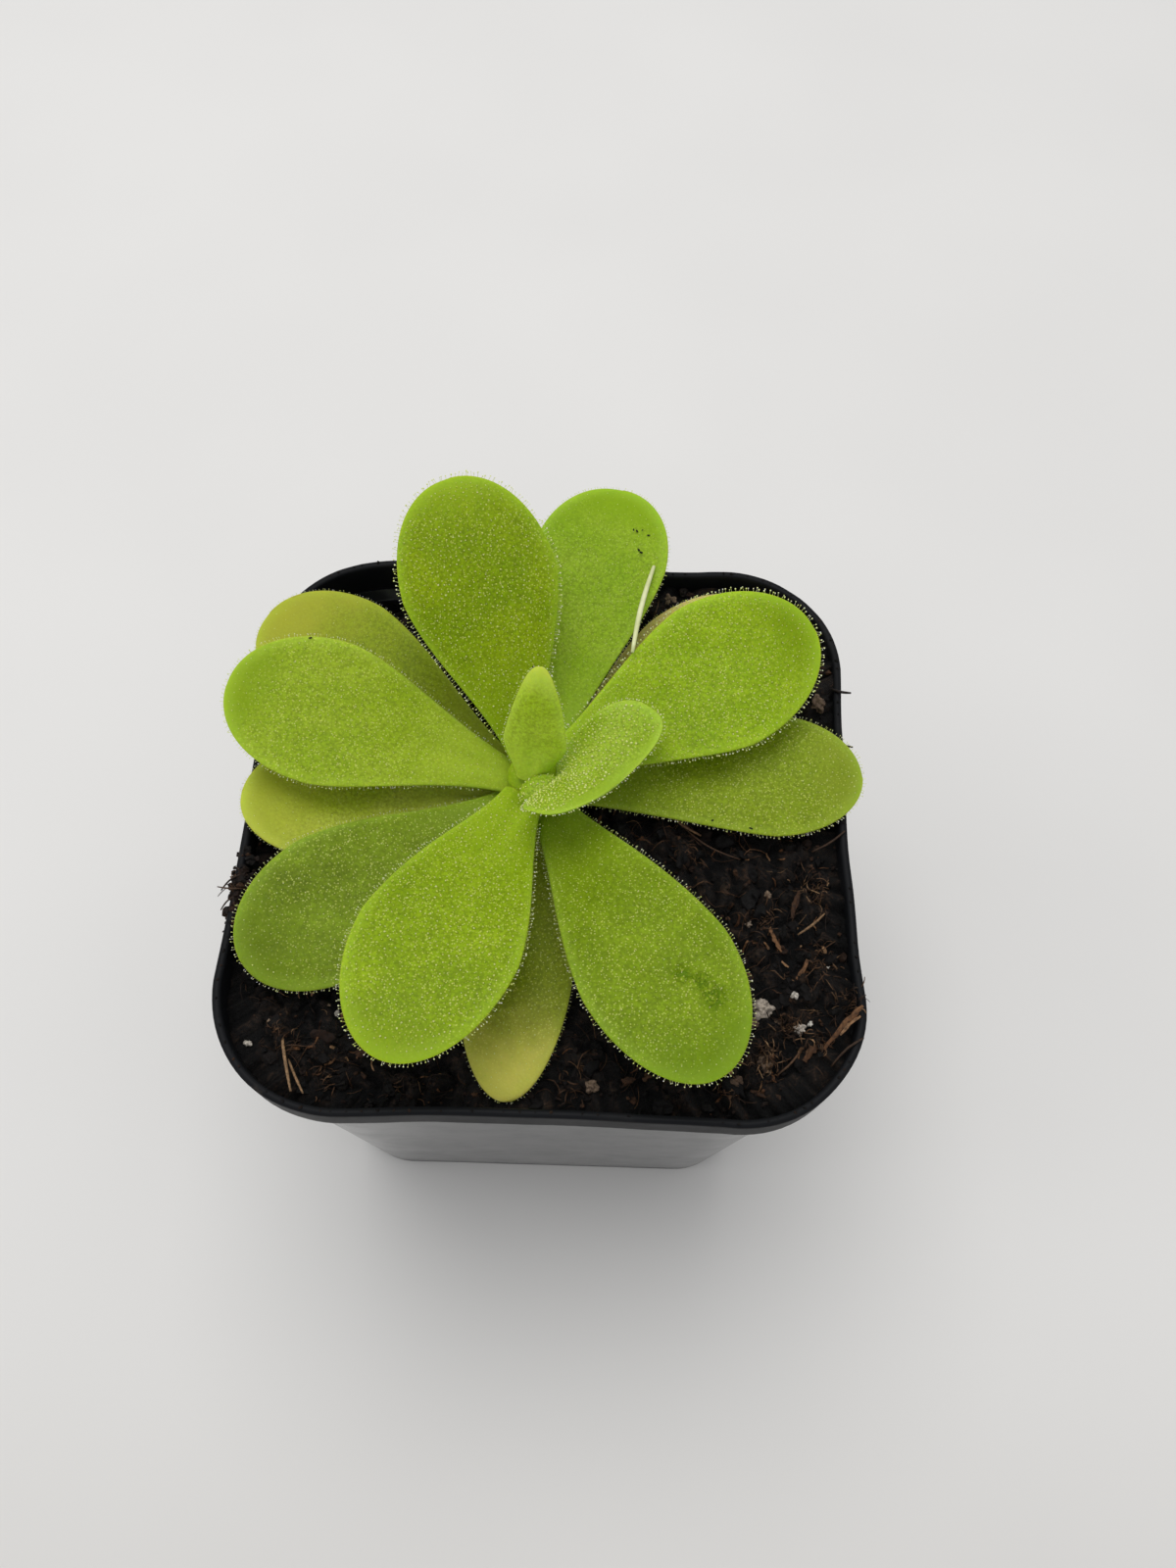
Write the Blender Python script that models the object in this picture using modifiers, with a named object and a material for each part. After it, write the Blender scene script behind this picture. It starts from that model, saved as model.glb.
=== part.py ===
"""Butterwort: a flat rosette of spoon-shaped leaves in a square nursery pot filled with peaty soil.

Units are metres with +Z up. The origin is the middle of the pot's underside, on the surface that
it stands on. The pot's front, the side that the rosette is looked at from, faces -Y.
"""
import math
import random
from collections import namedtuple

import bmesh
import bpy
import numpy as np

MM = 0.001

# The pot: a three inch square nursery pot with a stepped lip.
POT_WIDTH = 76.0 * MM
POT_HEIGHT = 70.0 * MM
POT_CORNER_RADIUS = 15.3 * MM
POT_SIDE_BOW = 0.6 * MM
POT_WALL = 1.0 * MM
LIP_HEIGHT = 5.8 * MM
LIP_STEP = 1.1 * MM
LIP_STEP_HEIGHT = 0.6 * MM
LIP_DRAFT = 0.3 * MM
BASE_WIDTH = 60.0 * MM
BASE_CORNER_RADIUS = 9.0 * MM
BASE_CHAMFER = 0.8 * MM
DRAIN_RADIUS = 3.0 * MM
DRAIN_OFFSET = 17.0 * MM
POINTS_PER_CORNER = 7
POINTS_PER_SIDE = 4

# Meshes that touch keep this gap.
TOUCH = 0.3 * MM

# The soil: a lumpy bed, high at the right and low in the back left corner.
SOIL_RINGS = 11
SOIL_MIDDLE = 65.6 * MM
SOIL_FRONT = 66.6 * MM
SOIL_RIGHT = 68.2 * MM
SOIL_LEFT = 66.4 * MM
SOIL_BACK = 67.2 * MM
SOIL_HOLLOW_DEPTH = 7.5 * MM
SOIL_HOLLOW_PLACE = (-27.0 * MM, 28.0 * MM)
SOIL_HOLLOW_REACH = 15.0 * MM
SOIL_LUMPS = 70
SOIL_BELOW_LEAF = 0.55 * MM
SOIL_SLACK = 0.15 * MM

# The stem and its bundle of roots, which stand in a plain hole in the soil.
CROWN_X = -2.0 * MM
CROWN_Y = 4.5 * MM
STEM_RADIUS = 2.5 * MM
STEM_TOP = 72.9 * MM
ROOT_TOP = 64.5 * MM
ROOT_BOTTOM = 36.0 * MM
ROOT_RADIUS = 3.4 * MM

# The leaves.
LEAF_THICKNESS = 1.0 * MM
LEAF_MARGIN_SHARE = 0.72
LEAF_ROWS = 14
LEAF_COLUMNS = 6
SPINE_STEPS = 200

# One leaf. Angles are in degrees and lengths in millimetres.
# azimuth: the way it points, seen from above, from +X towards +Y
# rise: how steeply it leaves the stem; bend: how much of that slope is lost by its tip
# swerve: how far it turns sideways; roll: how far its blade tips over to one side at the tip
# cup: how much the margins curl up; widest: where along the leaf it is widest
# neck: its width at the stem, as a share of its full width; tip: how blunt its end is
Leaf = namedtuple("Leaf", "azimuth rise bend length width root_z root_r swerve roll cup widest neck tip")

LEAVES = {
    "leaf_upper_back": Leaf(110.5, 42, 22, 35.7, 19.5, 71.3, 3.0, 0, 0, 0.10, 0.62, 0.22, 2.0),
    "leaf_upper_right": Leaf(26.7, 22, 18, 37.0, 19.6, 71.1, 3.0, 0, 22, 0.05, 0.62, 0.28, 2.0),
    "leaf_upper_front": Leaf(-110.5, 24, 26, 39.5, 19.0, 71.4, 3.0, 0, 0, 0.05, 0.62, 0.28, 2.0),
    "leaf_middle_back": Leaf(75.5, 20, 14, 39.1, 17.5, 69.4, 3.0, 0, 0, 0.10, 0.72, 0.24, 2.0),
    "leaf_middle_front": Leaf(-60.5, 22, 26, 42.6, 18.3, 69.4, 3.0, 0, 0, 0.05, 0.66, 0.26, 2.0),
    "leaf_middle_left": Leaf(169.0, 22, 18, 36.8, 18.7, 69.6, 3.0, 0, -15, 0.05, 0.64, 0.24, 2.2),
    "leaf_lower_right": Leaf(2.2, 10.6, 14, 38.6, 16.5, 68.0, 3.0, 0, 4, 0.05, 0.70, 0.28, 2.0),
    "leaf_lower_front": Leaf(-141.0, 12, 14, 38.8, 18.5, 68.1, 3.0, 0, -10, 0.05, 0.66, 0.21, 2.0),
    "leaf_lower_back": Leaf(148.0, 9.4, 8, 39.7, 18.5, 67.9, 3.0, 0, -2, 0.05, 0.70, 0.21, 2.0),
    "leaf_lowest_front": Leaf(-92.5, 4, 8, 36.7, 13.6, 66.6, 3.0, 0, 0, 0.05, 0.58, 0.26, 1.7),
    "leaf_lowest_left": Leaf(-172.5, 9.0, 1.5, 33.6, 16.5, 66.3, 3.0, 0, 0, 0.05, 0.66, 0.22, 2.0),
    "leaf_lowest_back": Leaf(44.5, 6, 8, 38.3, 16.0, 66.5, 3.0, 0, 0, 0.05, 0.66, 0.24, 2.0),
    "leaf_young_pointed": Leaf(81.5, 69.3, -2.9, 17.6, 7.9, 73.6, -1.5, -5.5, 0, -0.21, 0.29, 0.46, 1.0),
    "leaf_young_spoon": Leaf(-18.4, 76.4, 82.0, 11.6, 20.5, 72.8, 3.4, -28.7, -6.6, 0.30, 0.70, 0.28, 4.4),
}


def clear_scene():
    for item in list(bpy.data.objects):
        bpy.data.objects.remove(item, do_unlink=True)


def new_collection(name):
    collection = bpy.data.collections.new(name)
    bpy.context.scene.collection.children.link(collection)
    return collection


def new_material(name, colour, roughness, metallic=0.0):
    material = bpy.data.materials.new(name)
    material.use_nodes = True
    shader = material.node_tree.nodes["Principled BSDF"]
    shader.inputs["Base Color"].default_value = (*colour, 1.0)
    shader.inputs["Roughness"].default_value = roughness
    shader.inputs["Metallic"].default_value = metallic
    return material


def add_object(name, mesh_builder, material, collection):
    """Turn a bmesh into a named object, with its faces pointing out."""
    bmesh.ops.recalc_face_normals(mesh_builder, faces=mesh_builder.faces)
    mesh = bpy.data.meshes.new(name)
    mesh_builder.to_mesh(mesh)
    mesh_builder.free()
    mesh.materials.append(material)
    item = bpy.data.objects.new(name, mesh)
    collection.objects.link(item)
    return item


def rounded_square(half, radius, bow, z):
    """Points round a square with round corners, whose sides bow inwards by bow at their middles."""
    straight = half - radius
    points = []
    for quarter in range(4):
        turn = quarter * math.pi / 2
        local = []
        for step in range(POINTS_PER_CORNER):
            angle = math.pi / 2 * step / (POINTS_PER_CORNER - 1)
            local.append((straight + radius * math.cos(angle), straight + radius * math.sin(angle)))
        for step in range(1, POINTS_PER_SIDE):
            share = 1 - 2 * step / POINTS_PER_SIDE
            local.append((straight * share, half - bow * (1 - share * share)))
        cosine, sine = math.cos(turn), math.sin(turn)
        for x, y in local:
            points.append((x * cosine - y * sine, x * sine + y * cosine, z))
    return points


def loft(rings, close_start, close_end):
    """Join rings of equally many points with faces, and close the ends that are asked for."""
    builder = bmesh.new()
    rows = [[builder.verts.new(point) for point in ring] for ring in rings]
    count = len(rows[0])
    for lower, upper in zip(rows, rows[1:]):
        for index in range(count):
            following = (index + 1) % count
            builder.faces.new((lower[index], lower[following], upper[following], upper[index]))
    if close_start:
        builder.faces.new(rows[0][::-1])
    if close_end:
        builder.faces.new(rows[-1])
    return builder


def wall_half(z):
    """Half of the pot's outer width at height z, below its lip."""
    top_z = POT_HEIGHT - LIP_HEIGHT
    top_half = POT_WIDTH / 2 - LIP_DRAFT - LIP_STEP
    return BASE_WIDTH / 2 + (top_half - BASE_WIDTH / 2) * z / top_z


def corner_radius(z):
    return BASE_CORNER_RADIUS + (POT_CORNER_RADIUS - BASE_CORNER_RADIUS) * z / POT_HEIGHT


def side_bow(z):
    return POT_SIDE_BOW * z / POT_HEIGHT


def ring_at(z, half, inset=0.0):
    return rounded_square(half - inset, corner_radius(z) - inset, side_bow(z), z)


def make_pot(collection, cutters, material):
    """The outer skin, from the underside up to the rim, thickened inwards and drained by four holes."""
    step_z = POT_HEIGHT - LIP_HEIGHT
    lip_z = step_z + LIP_STEP_HEIGHT
    rings = [
        ring_at(0.0, wall_half(0.0), BASE_CHAMFER),
        ring_at(BASE_CHAMFER, wall_half(BASE_CHAMFER)),
        ring_at(step_z, wall_half(step_z)),
        ring_at(lip_z, POT_WIDTH / 2 - LIP_DRAFT),
        ring_at(POT_HEIGHT, POT_WIDTH / 2),
    ]
    pot = add_object("pot", loft(rings, True, False), material, collection)
    shell = pot.modifiers.new("wall", "SOLIDIFY")
    shell.thickness = POT_WALL
    shell.offset = -1.0
    shell.use_even_offset = True
    for index, (side_x, side_y) in enumerate(((1, 1), (-1, 1), (-1, -1), (1, -1))):
        bpy.ops.mesh.primitive_cylinder_add(
            vertices=16, radius=DRAIN_RADIUS, depth=8 * POT_WALL,
            location=(side_x * DRAIN_OFFSET, side_y * DRAIN_OFFSET, 0.0))
        cutter = bpy.context.object
        add_cutter(pot, cutter, f"drain_cutter_{index}", cutters)
    return pot


def add_cutter(item, cutter, name, cutters):
    cutter.name = name
    for owner in list(cutter.users_collection):
        owner.objects.unlink(cutter)
    cutters.objects.link(cutter)
    cutter.hide_render = True
    cutter.display_type = "WIRE"
    cut = item.modifiers.new(name, "BOOLEAN")
    cut.operation = "DIFFERENCE"
    cut.solver = "EXACT"
    cut.object = cutter


def leaf_half_width(leaf, share):
    """Half of the blade's width at each share of its length: an easing neck, then a round end."""
    along = np.clip(share / leaf.widest, 0, 1)
    ease = 0.6 * along * along * (3 - 2 * along) + 0.4 * along
    neck = leaf.neck + (1 - leaf.neck) * ease
    past = np.clip((share - leaf.widest) / (1 - leaf.widest), 0, 1)
    end = np.sqrt(np.maximum(0, 1 - past ** leaf.tip))
    return leaf.width * MM / 2 * np.where(share < leaf.widest, neck, end)


def leaf_spine(leaf):
    """Points down the middle of the blade, with the directions across it and out of its upper face."""
    share = np.linspace(0, 1, SPINE_STEPS + 1)
    slope = np.radians(leaf.rise - leaf.bend * share ** 1.3)
    heading = np.radians(leaf.azimuth + leaf.swerve * share)
    ahead = np.stack([np.cos(slope) * np.cos(heading), np.cos(slope) * np.sin(heading), np.sin(slope)], 1)
    start = math.radians(leaf.azimuth)
    middle = np.zeros((SPINE_STEPS + 1, 3))
    middle[0] = (CROWN_X + leaf.root_r * MM * math.cos(start),
                 CROWN_Y + leaf.root_r * MM * math.sin(start), leaf.root_z * MM)
    step = leaf.length * MM / SPINE_STEPS
    middle[1:] = middle[0] + np.cumsum((ahead[1:] + ahead[:-1]) / 2 * step, 0)
    level = np.stack([-np.sin(heading), np.cos(heading), 0 * heading], 1)
    upright = np.cross(ahead, level)
    tilt = np.radians(leaf.roll) * share
    across = level * np.cos(tilt)[:, None] + upright * np.sin(tilt)[:, None]
    return middle, across, np.cross(ahead, across)


def leaf_points(leaf, shares, sides):
    """Points of the blade's middle surface. sides runs from -1 to 1 between the two margins."""
    middle, across, out = leaf_spine(leaf)
    index = np.round(shares * SPINE_STEPS).astype(int)
    half = leaf_half_width(leaf, shares)
    sideways = (half[:, None] * sides[None, :])[..., None] * across[index][:, None, :]
    curl = (leaf.cup * half[:, None] * sides[None, :] ** 2)[..., None] * out[index][:, None, :]
    return middle[index][:, None, :] + sideways + curl


def make_leaf(name, leaf, material, collection):
    """A blade: an open sheet in triangles, thickened evenly and thinner at its margins."""
    shares = 1 - (1 - np.linspace(0, 1, LEAF_ROWS)) ** 1.6
    sides = np.linspace(-1, 1, LEAF_COLUMNS + 1)
    grid = leaf_points(leaf, shares, sides)
    builder = bmesh.new()
    rows = [[builder.verts.new(point) for point in row] for row in grid[:-1]]
    for lower, upper in zip(rows, rows[1:]):
        for index in range(LEAF_COLUMNS):
            builder.faces.new((lower[index], lower[index + 1], upper[index + 1], upper[index]))
    tip = builder.verts.new(grid[-1][LEAF_COLUMNS // 2])
    for index in range(LEAF_COLUMNS):
        builder.faces.new((rows[-1][index], rows[-1][index + 1], tip))
    item = add_object(name, builder, material, collection)
    body = item.vertex_groups.new(name="body")
    last_row = LEAF_ROWS - 2
    for vertex in item.data.vertices:
        row, column = divmod(vertex.index, LEAF_COLUMNS + 1)
        margin = column in (0, LEAF_COLUMNS) or row >= last_row
        body.add([vertex.index], LEAF_MARGIN_SHARE if margin else 1.0, "REPLACE")
    item.modifiers.new("split", "TRIANGULATE")
    shell = item.modifiers.new("thickness", "SOLIDIFY")
    shell.thickness = LEAF_THICKNESS
    shell.offset = 0.0
    shell.vertex_group = "body"
    return item


def leaf_undersides():
    """Points along the undersides of all the leaves, which the soil stays below."""
    shares = np.linspace(0, 1, 60)
    sides = np.linspace(-1, 1, 25)
    clouds = [leaf_points(leaf, shares, sides).reshape(-1, 3) for leaf in LEAVES.values()]
    cloud = np.concatenate(clouds)
    cloud[:, 2] -= LEAF_THICKNESS / 2 + SOIL_BELOW_LEAF
    return cloud


def soil_height(x, y, lumps):
    """The height of the bed: tilted towards its sides, with a hollow and random lumps."""
    reach = POT_WIDTH / 2
    right = max(x, 0) / reach
    left = max(-x, 0) / reach
    back = max(y, 0) / reach
    front = max(-y, 0) / reach
    height = SOIL_MIDDLE
    height += (SOIL_RIGHT - SOIL_MIDDLE) * right + (SOIL_LEFT - SOIL_MIDDLE) * left
    height += (SOIL_BACK - SOIL_MIDDLE) * back + (SOIL_FRONT - SOIL_MIDDLE) * front
    away = math.hypot(x - SOIL_HOLLOW_PLACE[0], y - SOIL_HOLLOW_PLACE[1]) / SOIL_HOLLOW_REACH
    height -= SOIL_HOLLOW_DEPTH * math.exp(-away * away)
    for lump_x, lump_y, radius, lift in lumps:
        distance = math.hypot(x - lump_x, y - lump_y) / radius
        height += lift * math.exp(-distance * distance)
    return min(height, POT_HEIGHT - 1.0 * MM)


def soil_lumps():
    draw = random.Random(7)
    reach = POT_WIDTH / 2
    lumps = []
    for _ in range(SOIL_LUMPS):
        place = (draw.uniform(-reach, reach), draw.uniform(-reach, reach))
        lumps.append((*place, draw.uniform(2.5, 5.0) * MM, draw.uniform(-0.7, 1.0) * MM))
    return lumps


def make_soil(collection, cutters, material):
    """The bed of soil, which fills the pot and is bored for the roots."""
    lumps = soil_lumps()
    below = leaf_undersides()
    edge_z = POT_HEIGHT - LIP_HEIGHT
    inset = POT_WALL + TOUCH + SOIL_SLACK
    floor_z = POT_WALL + TOUCH
    rings = [ring_at(floor_z, wall_half(floor_z), inset + BASE_CHAMFER)]
    rings.append(ring_at(floor_z + BASE_CHAMFER, wall_half(floor_z + BASE_CHAMFER), inset))
    rings.append(ring_at(edge_z / 2, wall_half(edge_z / 2), inset))
    widest = ring_at(edge_z, wall_half(edge_z), inset)
    heights = [bed_point(x, y, lumps, below)[2] for x, y, _ in widest]
    rings.append([edge_point(index, height, inset) for index, height in enumerate(heights)])
    for number in range(SOIL_RINGS - 1, 0, -1):
        share = number / SOIL_RINGS
        rings.append([bed_point(x * share, y * share, lumps, below) for x, y, _ in widest])
    builder = loft(rings, True, False)
    builder.verts.ensure_lookup_table()
    last = [vertex for vertex in builder.verts][-len(rings[0]):]
    middle = builder.verts.new(bed_point(0.0, 0.0, lumps, below))
    for index, vertex in enumerate(last):
        builder.faces.new((vertex, last[(index + 1) % len(last)], middle))
    soil = add_object("soil", builder, material, collection)
    bottom = ROOT_BOTTOM - TOUCH
    top = POT_HEIGHT + 4 * MM
    bpy.ops.mesh.primitive_cylinder_add(
        vertices=20, radius=ROOT_RADIUS + TOUCH, depth=top - bottom,
        location=(CROWN_X, CROWN_Y, (top + bottom) / 2))
    add_cutter(soil, bpy.context.object, "root_hole_cutter", cutters)
    return soil


def bed_point(x, y, lumps, below):
    """A point of the bed's surface, pressed down where a leaf lies on it."""
    near = (below[:, 0] - x) ** 2 + (below[:, 1] - y) ** 2 < (3.2 * MM) ** 2
    height = soil_height(x, y, lumps)
    if near.any():
        height = min(height, below[near, 2].min())
    return (x, y, height)


def edge_point(index, height, inset):
    """The bed's rim against the tapering wall, at the height that the bed has there."""
    level = min(height, POT_HEIGHT - LIP_HEIGHT)
    x, y, _ = ring_at(level, wall_half(level), inset)[index]
    return (x, y, height)


def make_stem(collection, material):
    """The short stem that the leaves stand round, with the bundle of roots under it."""
    profile = [
        (0.0, STEM_TOP),
        (0.6 * STEM_RADIUS, STEM_TOP - 0.2 * MM),
        (0.93 * STEM_RADIUS, STEM_TOP - 1.0 * MM),
        (STEM_RADIUS, STEM_TOP - 2.2 * MM),
        (STEM_RADIUS, ROOT_TOP),
        (ROOT_RADIUS - TOUCH, ROOT_TOP - 3.0 * MM),
        (ROOT_RADIUS - TOUCH, ROOT_BOTTOM + 8.0 * MM),
        (0.6 * ROOT_RADIUS, ROOT_BOTTOM + 2.0 * MM),
        (0.0, ROOT_BOTTOM),
    ]
    builder = bmesh.new()
    points = [builder.verts.new((radius, 0.0, z)) for radius, z in profile]
    for start, end in zip(points, points[1:]):
        builder.edges.new((start, end))
    mesh = bpy.data.meshes.new("stem_and_roots")
    builder.to_mesh(mesh)
    builder.free()
    mesh.materials.append(material)
    stem = bpy.data.objects.new("stem_and_roots", mesh)
    stem.location = (CROWN_X, CROWN_Y, 0.0)
    collection.objects.link(stem)
    turn = stem.modifiers.new("turn", "SCREW")
    turn.steps = 18
    turn.render_steps = 18
    turn.use_merge_vertices = True
    turn.merge_threshold = 0.00005
    turn.use_normal_calculate = True
    return stem


def main():
    clear_scene()
    parts = new_collection("butterwort")
    cutters = new_collection("cutters")
    plastic = new_material("pot_plastic", (0.012, 0.013, 0.015), 0.38)
    peat = new_material("peat", (0.030, 0.018, 0.011), 0.95)
    stem_green = new_material("stem_green", (0.36, 0.50, 0.10), 0.55)
    leaf_green = new_material("leaf_green", (0.30, 0.48, 0.04), 0.40)
    make_pot(parts, cutters, plastic)
    make_soil(parts, cutters, peat)
    make_stem(parts, stem_green)
    for name, leaf in LEAVES.items():
        make_leaf(name, leaf, leaf_green, parts)


main()
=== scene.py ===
"""The looks of a butterwort in its square nursery pot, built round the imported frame.

Units are metres with +Z up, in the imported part's own frame: the origin is the middle of the pot's
underside, and the pot's front faces -Y. The leaves repeat the named forms of the part's source.
"""

import random
from collections import namedtuple
from math import cos, exp, floor, pi, radians, sin

import bmesh
import bpy
import numpy as np
from mathutils import Matrix, Vector, noise
from mathutils.bvhtree import BVHTree


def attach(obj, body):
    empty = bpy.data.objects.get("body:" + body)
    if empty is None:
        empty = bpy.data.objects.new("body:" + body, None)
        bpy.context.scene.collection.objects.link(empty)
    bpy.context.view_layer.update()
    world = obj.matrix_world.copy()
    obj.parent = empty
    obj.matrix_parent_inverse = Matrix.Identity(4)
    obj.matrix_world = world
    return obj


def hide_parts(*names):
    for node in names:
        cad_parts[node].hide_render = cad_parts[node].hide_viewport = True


MM = 0.001
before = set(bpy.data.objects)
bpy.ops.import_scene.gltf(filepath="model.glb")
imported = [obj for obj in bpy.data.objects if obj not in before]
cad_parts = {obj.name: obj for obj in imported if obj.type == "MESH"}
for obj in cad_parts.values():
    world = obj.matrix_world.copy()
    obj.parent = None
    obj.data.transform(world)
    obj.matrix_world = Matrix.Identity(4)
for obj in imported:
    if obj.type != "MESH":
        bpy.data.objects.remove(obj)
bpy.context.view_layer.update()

# The pot, as in the part's source.
POT_WIDTH = 76.0 * MM
POT_HEIGHT = 70.0 * MM
POT_CORNER_RADIUS = 15.3 * MM
POT_SIDE_BOW = 0.6 * MM
POT_WALL = 1.0 * MM
LIP_HEIGHT = 5.8 * MM
LIP_STEP = 1.1 * MM
LIP_STEP_HEIGHT = 0.6 * MM
LIP_DRAFT = 0.3 * MM
BASE_WIDTH = 60.0 * MM
BASE_CORNER_RADIUS = 9.0 * MM
BASE_CHAMFER = 0.8 * MM
DRAIN_RADIUS = 3.0 * MM
DRAIN_OFFSET = 17.0 * MM
CORNER_STEPS = 22
SIDE_STEPS = 26
RIM_WAVE = 0.16 * MM

# The soil: how fine its mesh is, how rough it is, how many loose bits lie on it, and where.
SOIL_RINGS = 128
SOIL_CORNER_STEPS = 62
SOIL_SIDE_STEPS = 78
SOIL_LOWEST = 55.0 * MM
SOIL_PLUG = 65.2 * MM
SOIL_ROUGHNESS = 0.80 * MM
CLOD_CRUMBS = 90
CRUMBS = 800
FINE_CRUMBS = 3400
FIBRES = 2300
FLAKES = 620
RIM_CRUMBS = 150
LUMP_KINDS = 5
BED_REACH = 36.2 * MM
INSIDE_RIM = 36.5 * MM
LOOSE_REACH = 35.6 * MM
LOOSE_ROOM = 1.0 * MM

# The crown that the leaves stand round, and the folded corner of the young spoon-shaped leaf.
CROWN_X = -2.0 * MM
CROWN_Y = 4.5 * MM
CROWN_PLACE = (CROWN_X, CROWN_Y, 71.3 * MM)
CROWN_REACH = (3.3 * MM, 3.3 * MM, 1.8 * MM)
FOLD_PLACE = (-1.0 * MM, 1.15 * MM, 74.1 * MM)
FOLD_REACH = (2.7 * MM, 1.9 * MM, 1.7 * MM)
FOLD_TURN = radians(28)
FOLD_DROPS = 130

# The blades.
BLADE_THICKNESS = 1.0 * MM
BLADE_FOOT_ROWS = 40
BLADE_END_ROWS = 30
BLADE_COLUMNS = 34
SPINE_STEPS = 400
OUTLINE_ROWS = 160
WAVE = 0.16 * MM
RELIEF = 0.14 * MM
CHANNEL = 0.30 * MM
HAIR_SPACING = 0.42
HAIR_RADIUS = 0.038 * MM
DROP_MARGIN = 0.94
NORMAL_STEP = 0.004

# One leaf, as in the part's source. Angles are in degrees and lengths in millimetres.
# azimuth: the way it points, seen from above, from +X towards +Y
# rise: how steeply it leaves the stem; bend: how much of that slope is lost by its tip
# swerve: how far it turns sideways; roll: how far its blade tips over to one side at the tip
# cup: how much the margins curl up; widest: where along the leaf it is widest
# neck: its width at the stem, as a share of its full width; tip: how blunt its end is
Leaf = namedtuple("Leaf", "azimuth rise bend length width root_z root_r swerve roll cup widest neck tip")

LEAVES = {
    "leaf_upper_back": Leaf(110.5, 42, 22, 35.7, 19.5, 71.3, 3.0, 0, 0, 0.10, 0.62, 0.22, 2.0),
    "leaf_upper_right": Leaf(26.7, 22, 18, 37.0, 19.6, 71.1, 3.0, 0, 22, 0.05, 0.62, 0.28, 2.0),
    "leaf_upper_front": Leaf(-110.5, 24, 26, 39.5, 19.0, 71.4, 3.0, 0, 0, 0.05, 0.62, 0.28, 2.0),
    "leaf_middle_back": Leaf(75.5, 20, 14, 39.1, 17.5, 69.4, 3.0, 0, 0, 0.10, 0.72, 0.24, 2.0),
    "leaf_middle_front": Leaf(-60.5, 22, 26, 42.6, 18.3, 69.4, 3.0, 0, 0, 0.05, 0.66, 0.26, 2.0),
    "leaf_middle_left": Leaf(169.0, 22, 18, 36.8, 18.7, 69.6, 3.0, 0, -15, 0.05, 0.64, 0.24, 2.2),
    "leaf_lower_right": Leaf(2.2, 10.6, 14, 38.6, 16.5, 68.0, 3.0, 0, 4, 0.05, 0.70, 0.28, 2.0),
    "leaf_lower_front": Leaf(-141.0, 12, 14, 38.8, 18.5, 68.1, 3.0, 0, -10, 0.05, 0.66, 0.21, 2.0),
    "leaf_lower_back": Leaf(148.0, 9.4, 8, 39.7, 18.5, 67.9, 3.0, 0, -2, 0.05, 0.70, 0.21, 2.0),
    "leaf_lowest_front": Leaf(-92.5, 4, 8, 36.7, 13.6, 66.6, 3.0, 0, 0, 0.05, 0.58, 0.26, 1.7),
    "leaf_lowest_left": Leaf(-172.5, 9.0, 1.5, 33.6, 16.5, 66.3, 3.0, 0, 0, 0.05, 0.66, 0.22, 2.0),
    "leaf_lowest_back": Leaf(44.5, 6, 8, 38.3, 16.0, 66.5, 3.0, 0, 0, 0.05, 0.66, 0.24, 2.0),
    "leaf_young_pointed": Leaf(81.5, 69.3, -2.9, 17.6, 7.9, 73.6, -1.5, -5.5, 0, -0.21, 0.29, 0.46, 1.0),
    "leaf_young_spoon": Leaf(-18.4, 76.4, 82.0, 11.6, 20.5, 72.8, 3.4, -28.7, -6.6, 0.30, 0.70, 0.28, 4.4),
}

# How one leaf is finished. Colours are in 8-bit sRGB and lengths in millimetres.
# main, pale: the two greens of its flesh; tip: the colour its end fades to, from tip_from on
# flecks: how strongly its fine glands show; scorch: how brown the very edge of its tip is
# spacing, drop: how far apart its larger glands stand, and the radius of their drops
# hair, bead: the length of its marginal hairs, and the radius of the drops on them
# bare: how much of its length has no larger glands, back from its tip
Look = namedtuple("Look", "main pale tip tip_from flecks scorch spacing drop hair bead bare")

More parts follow.
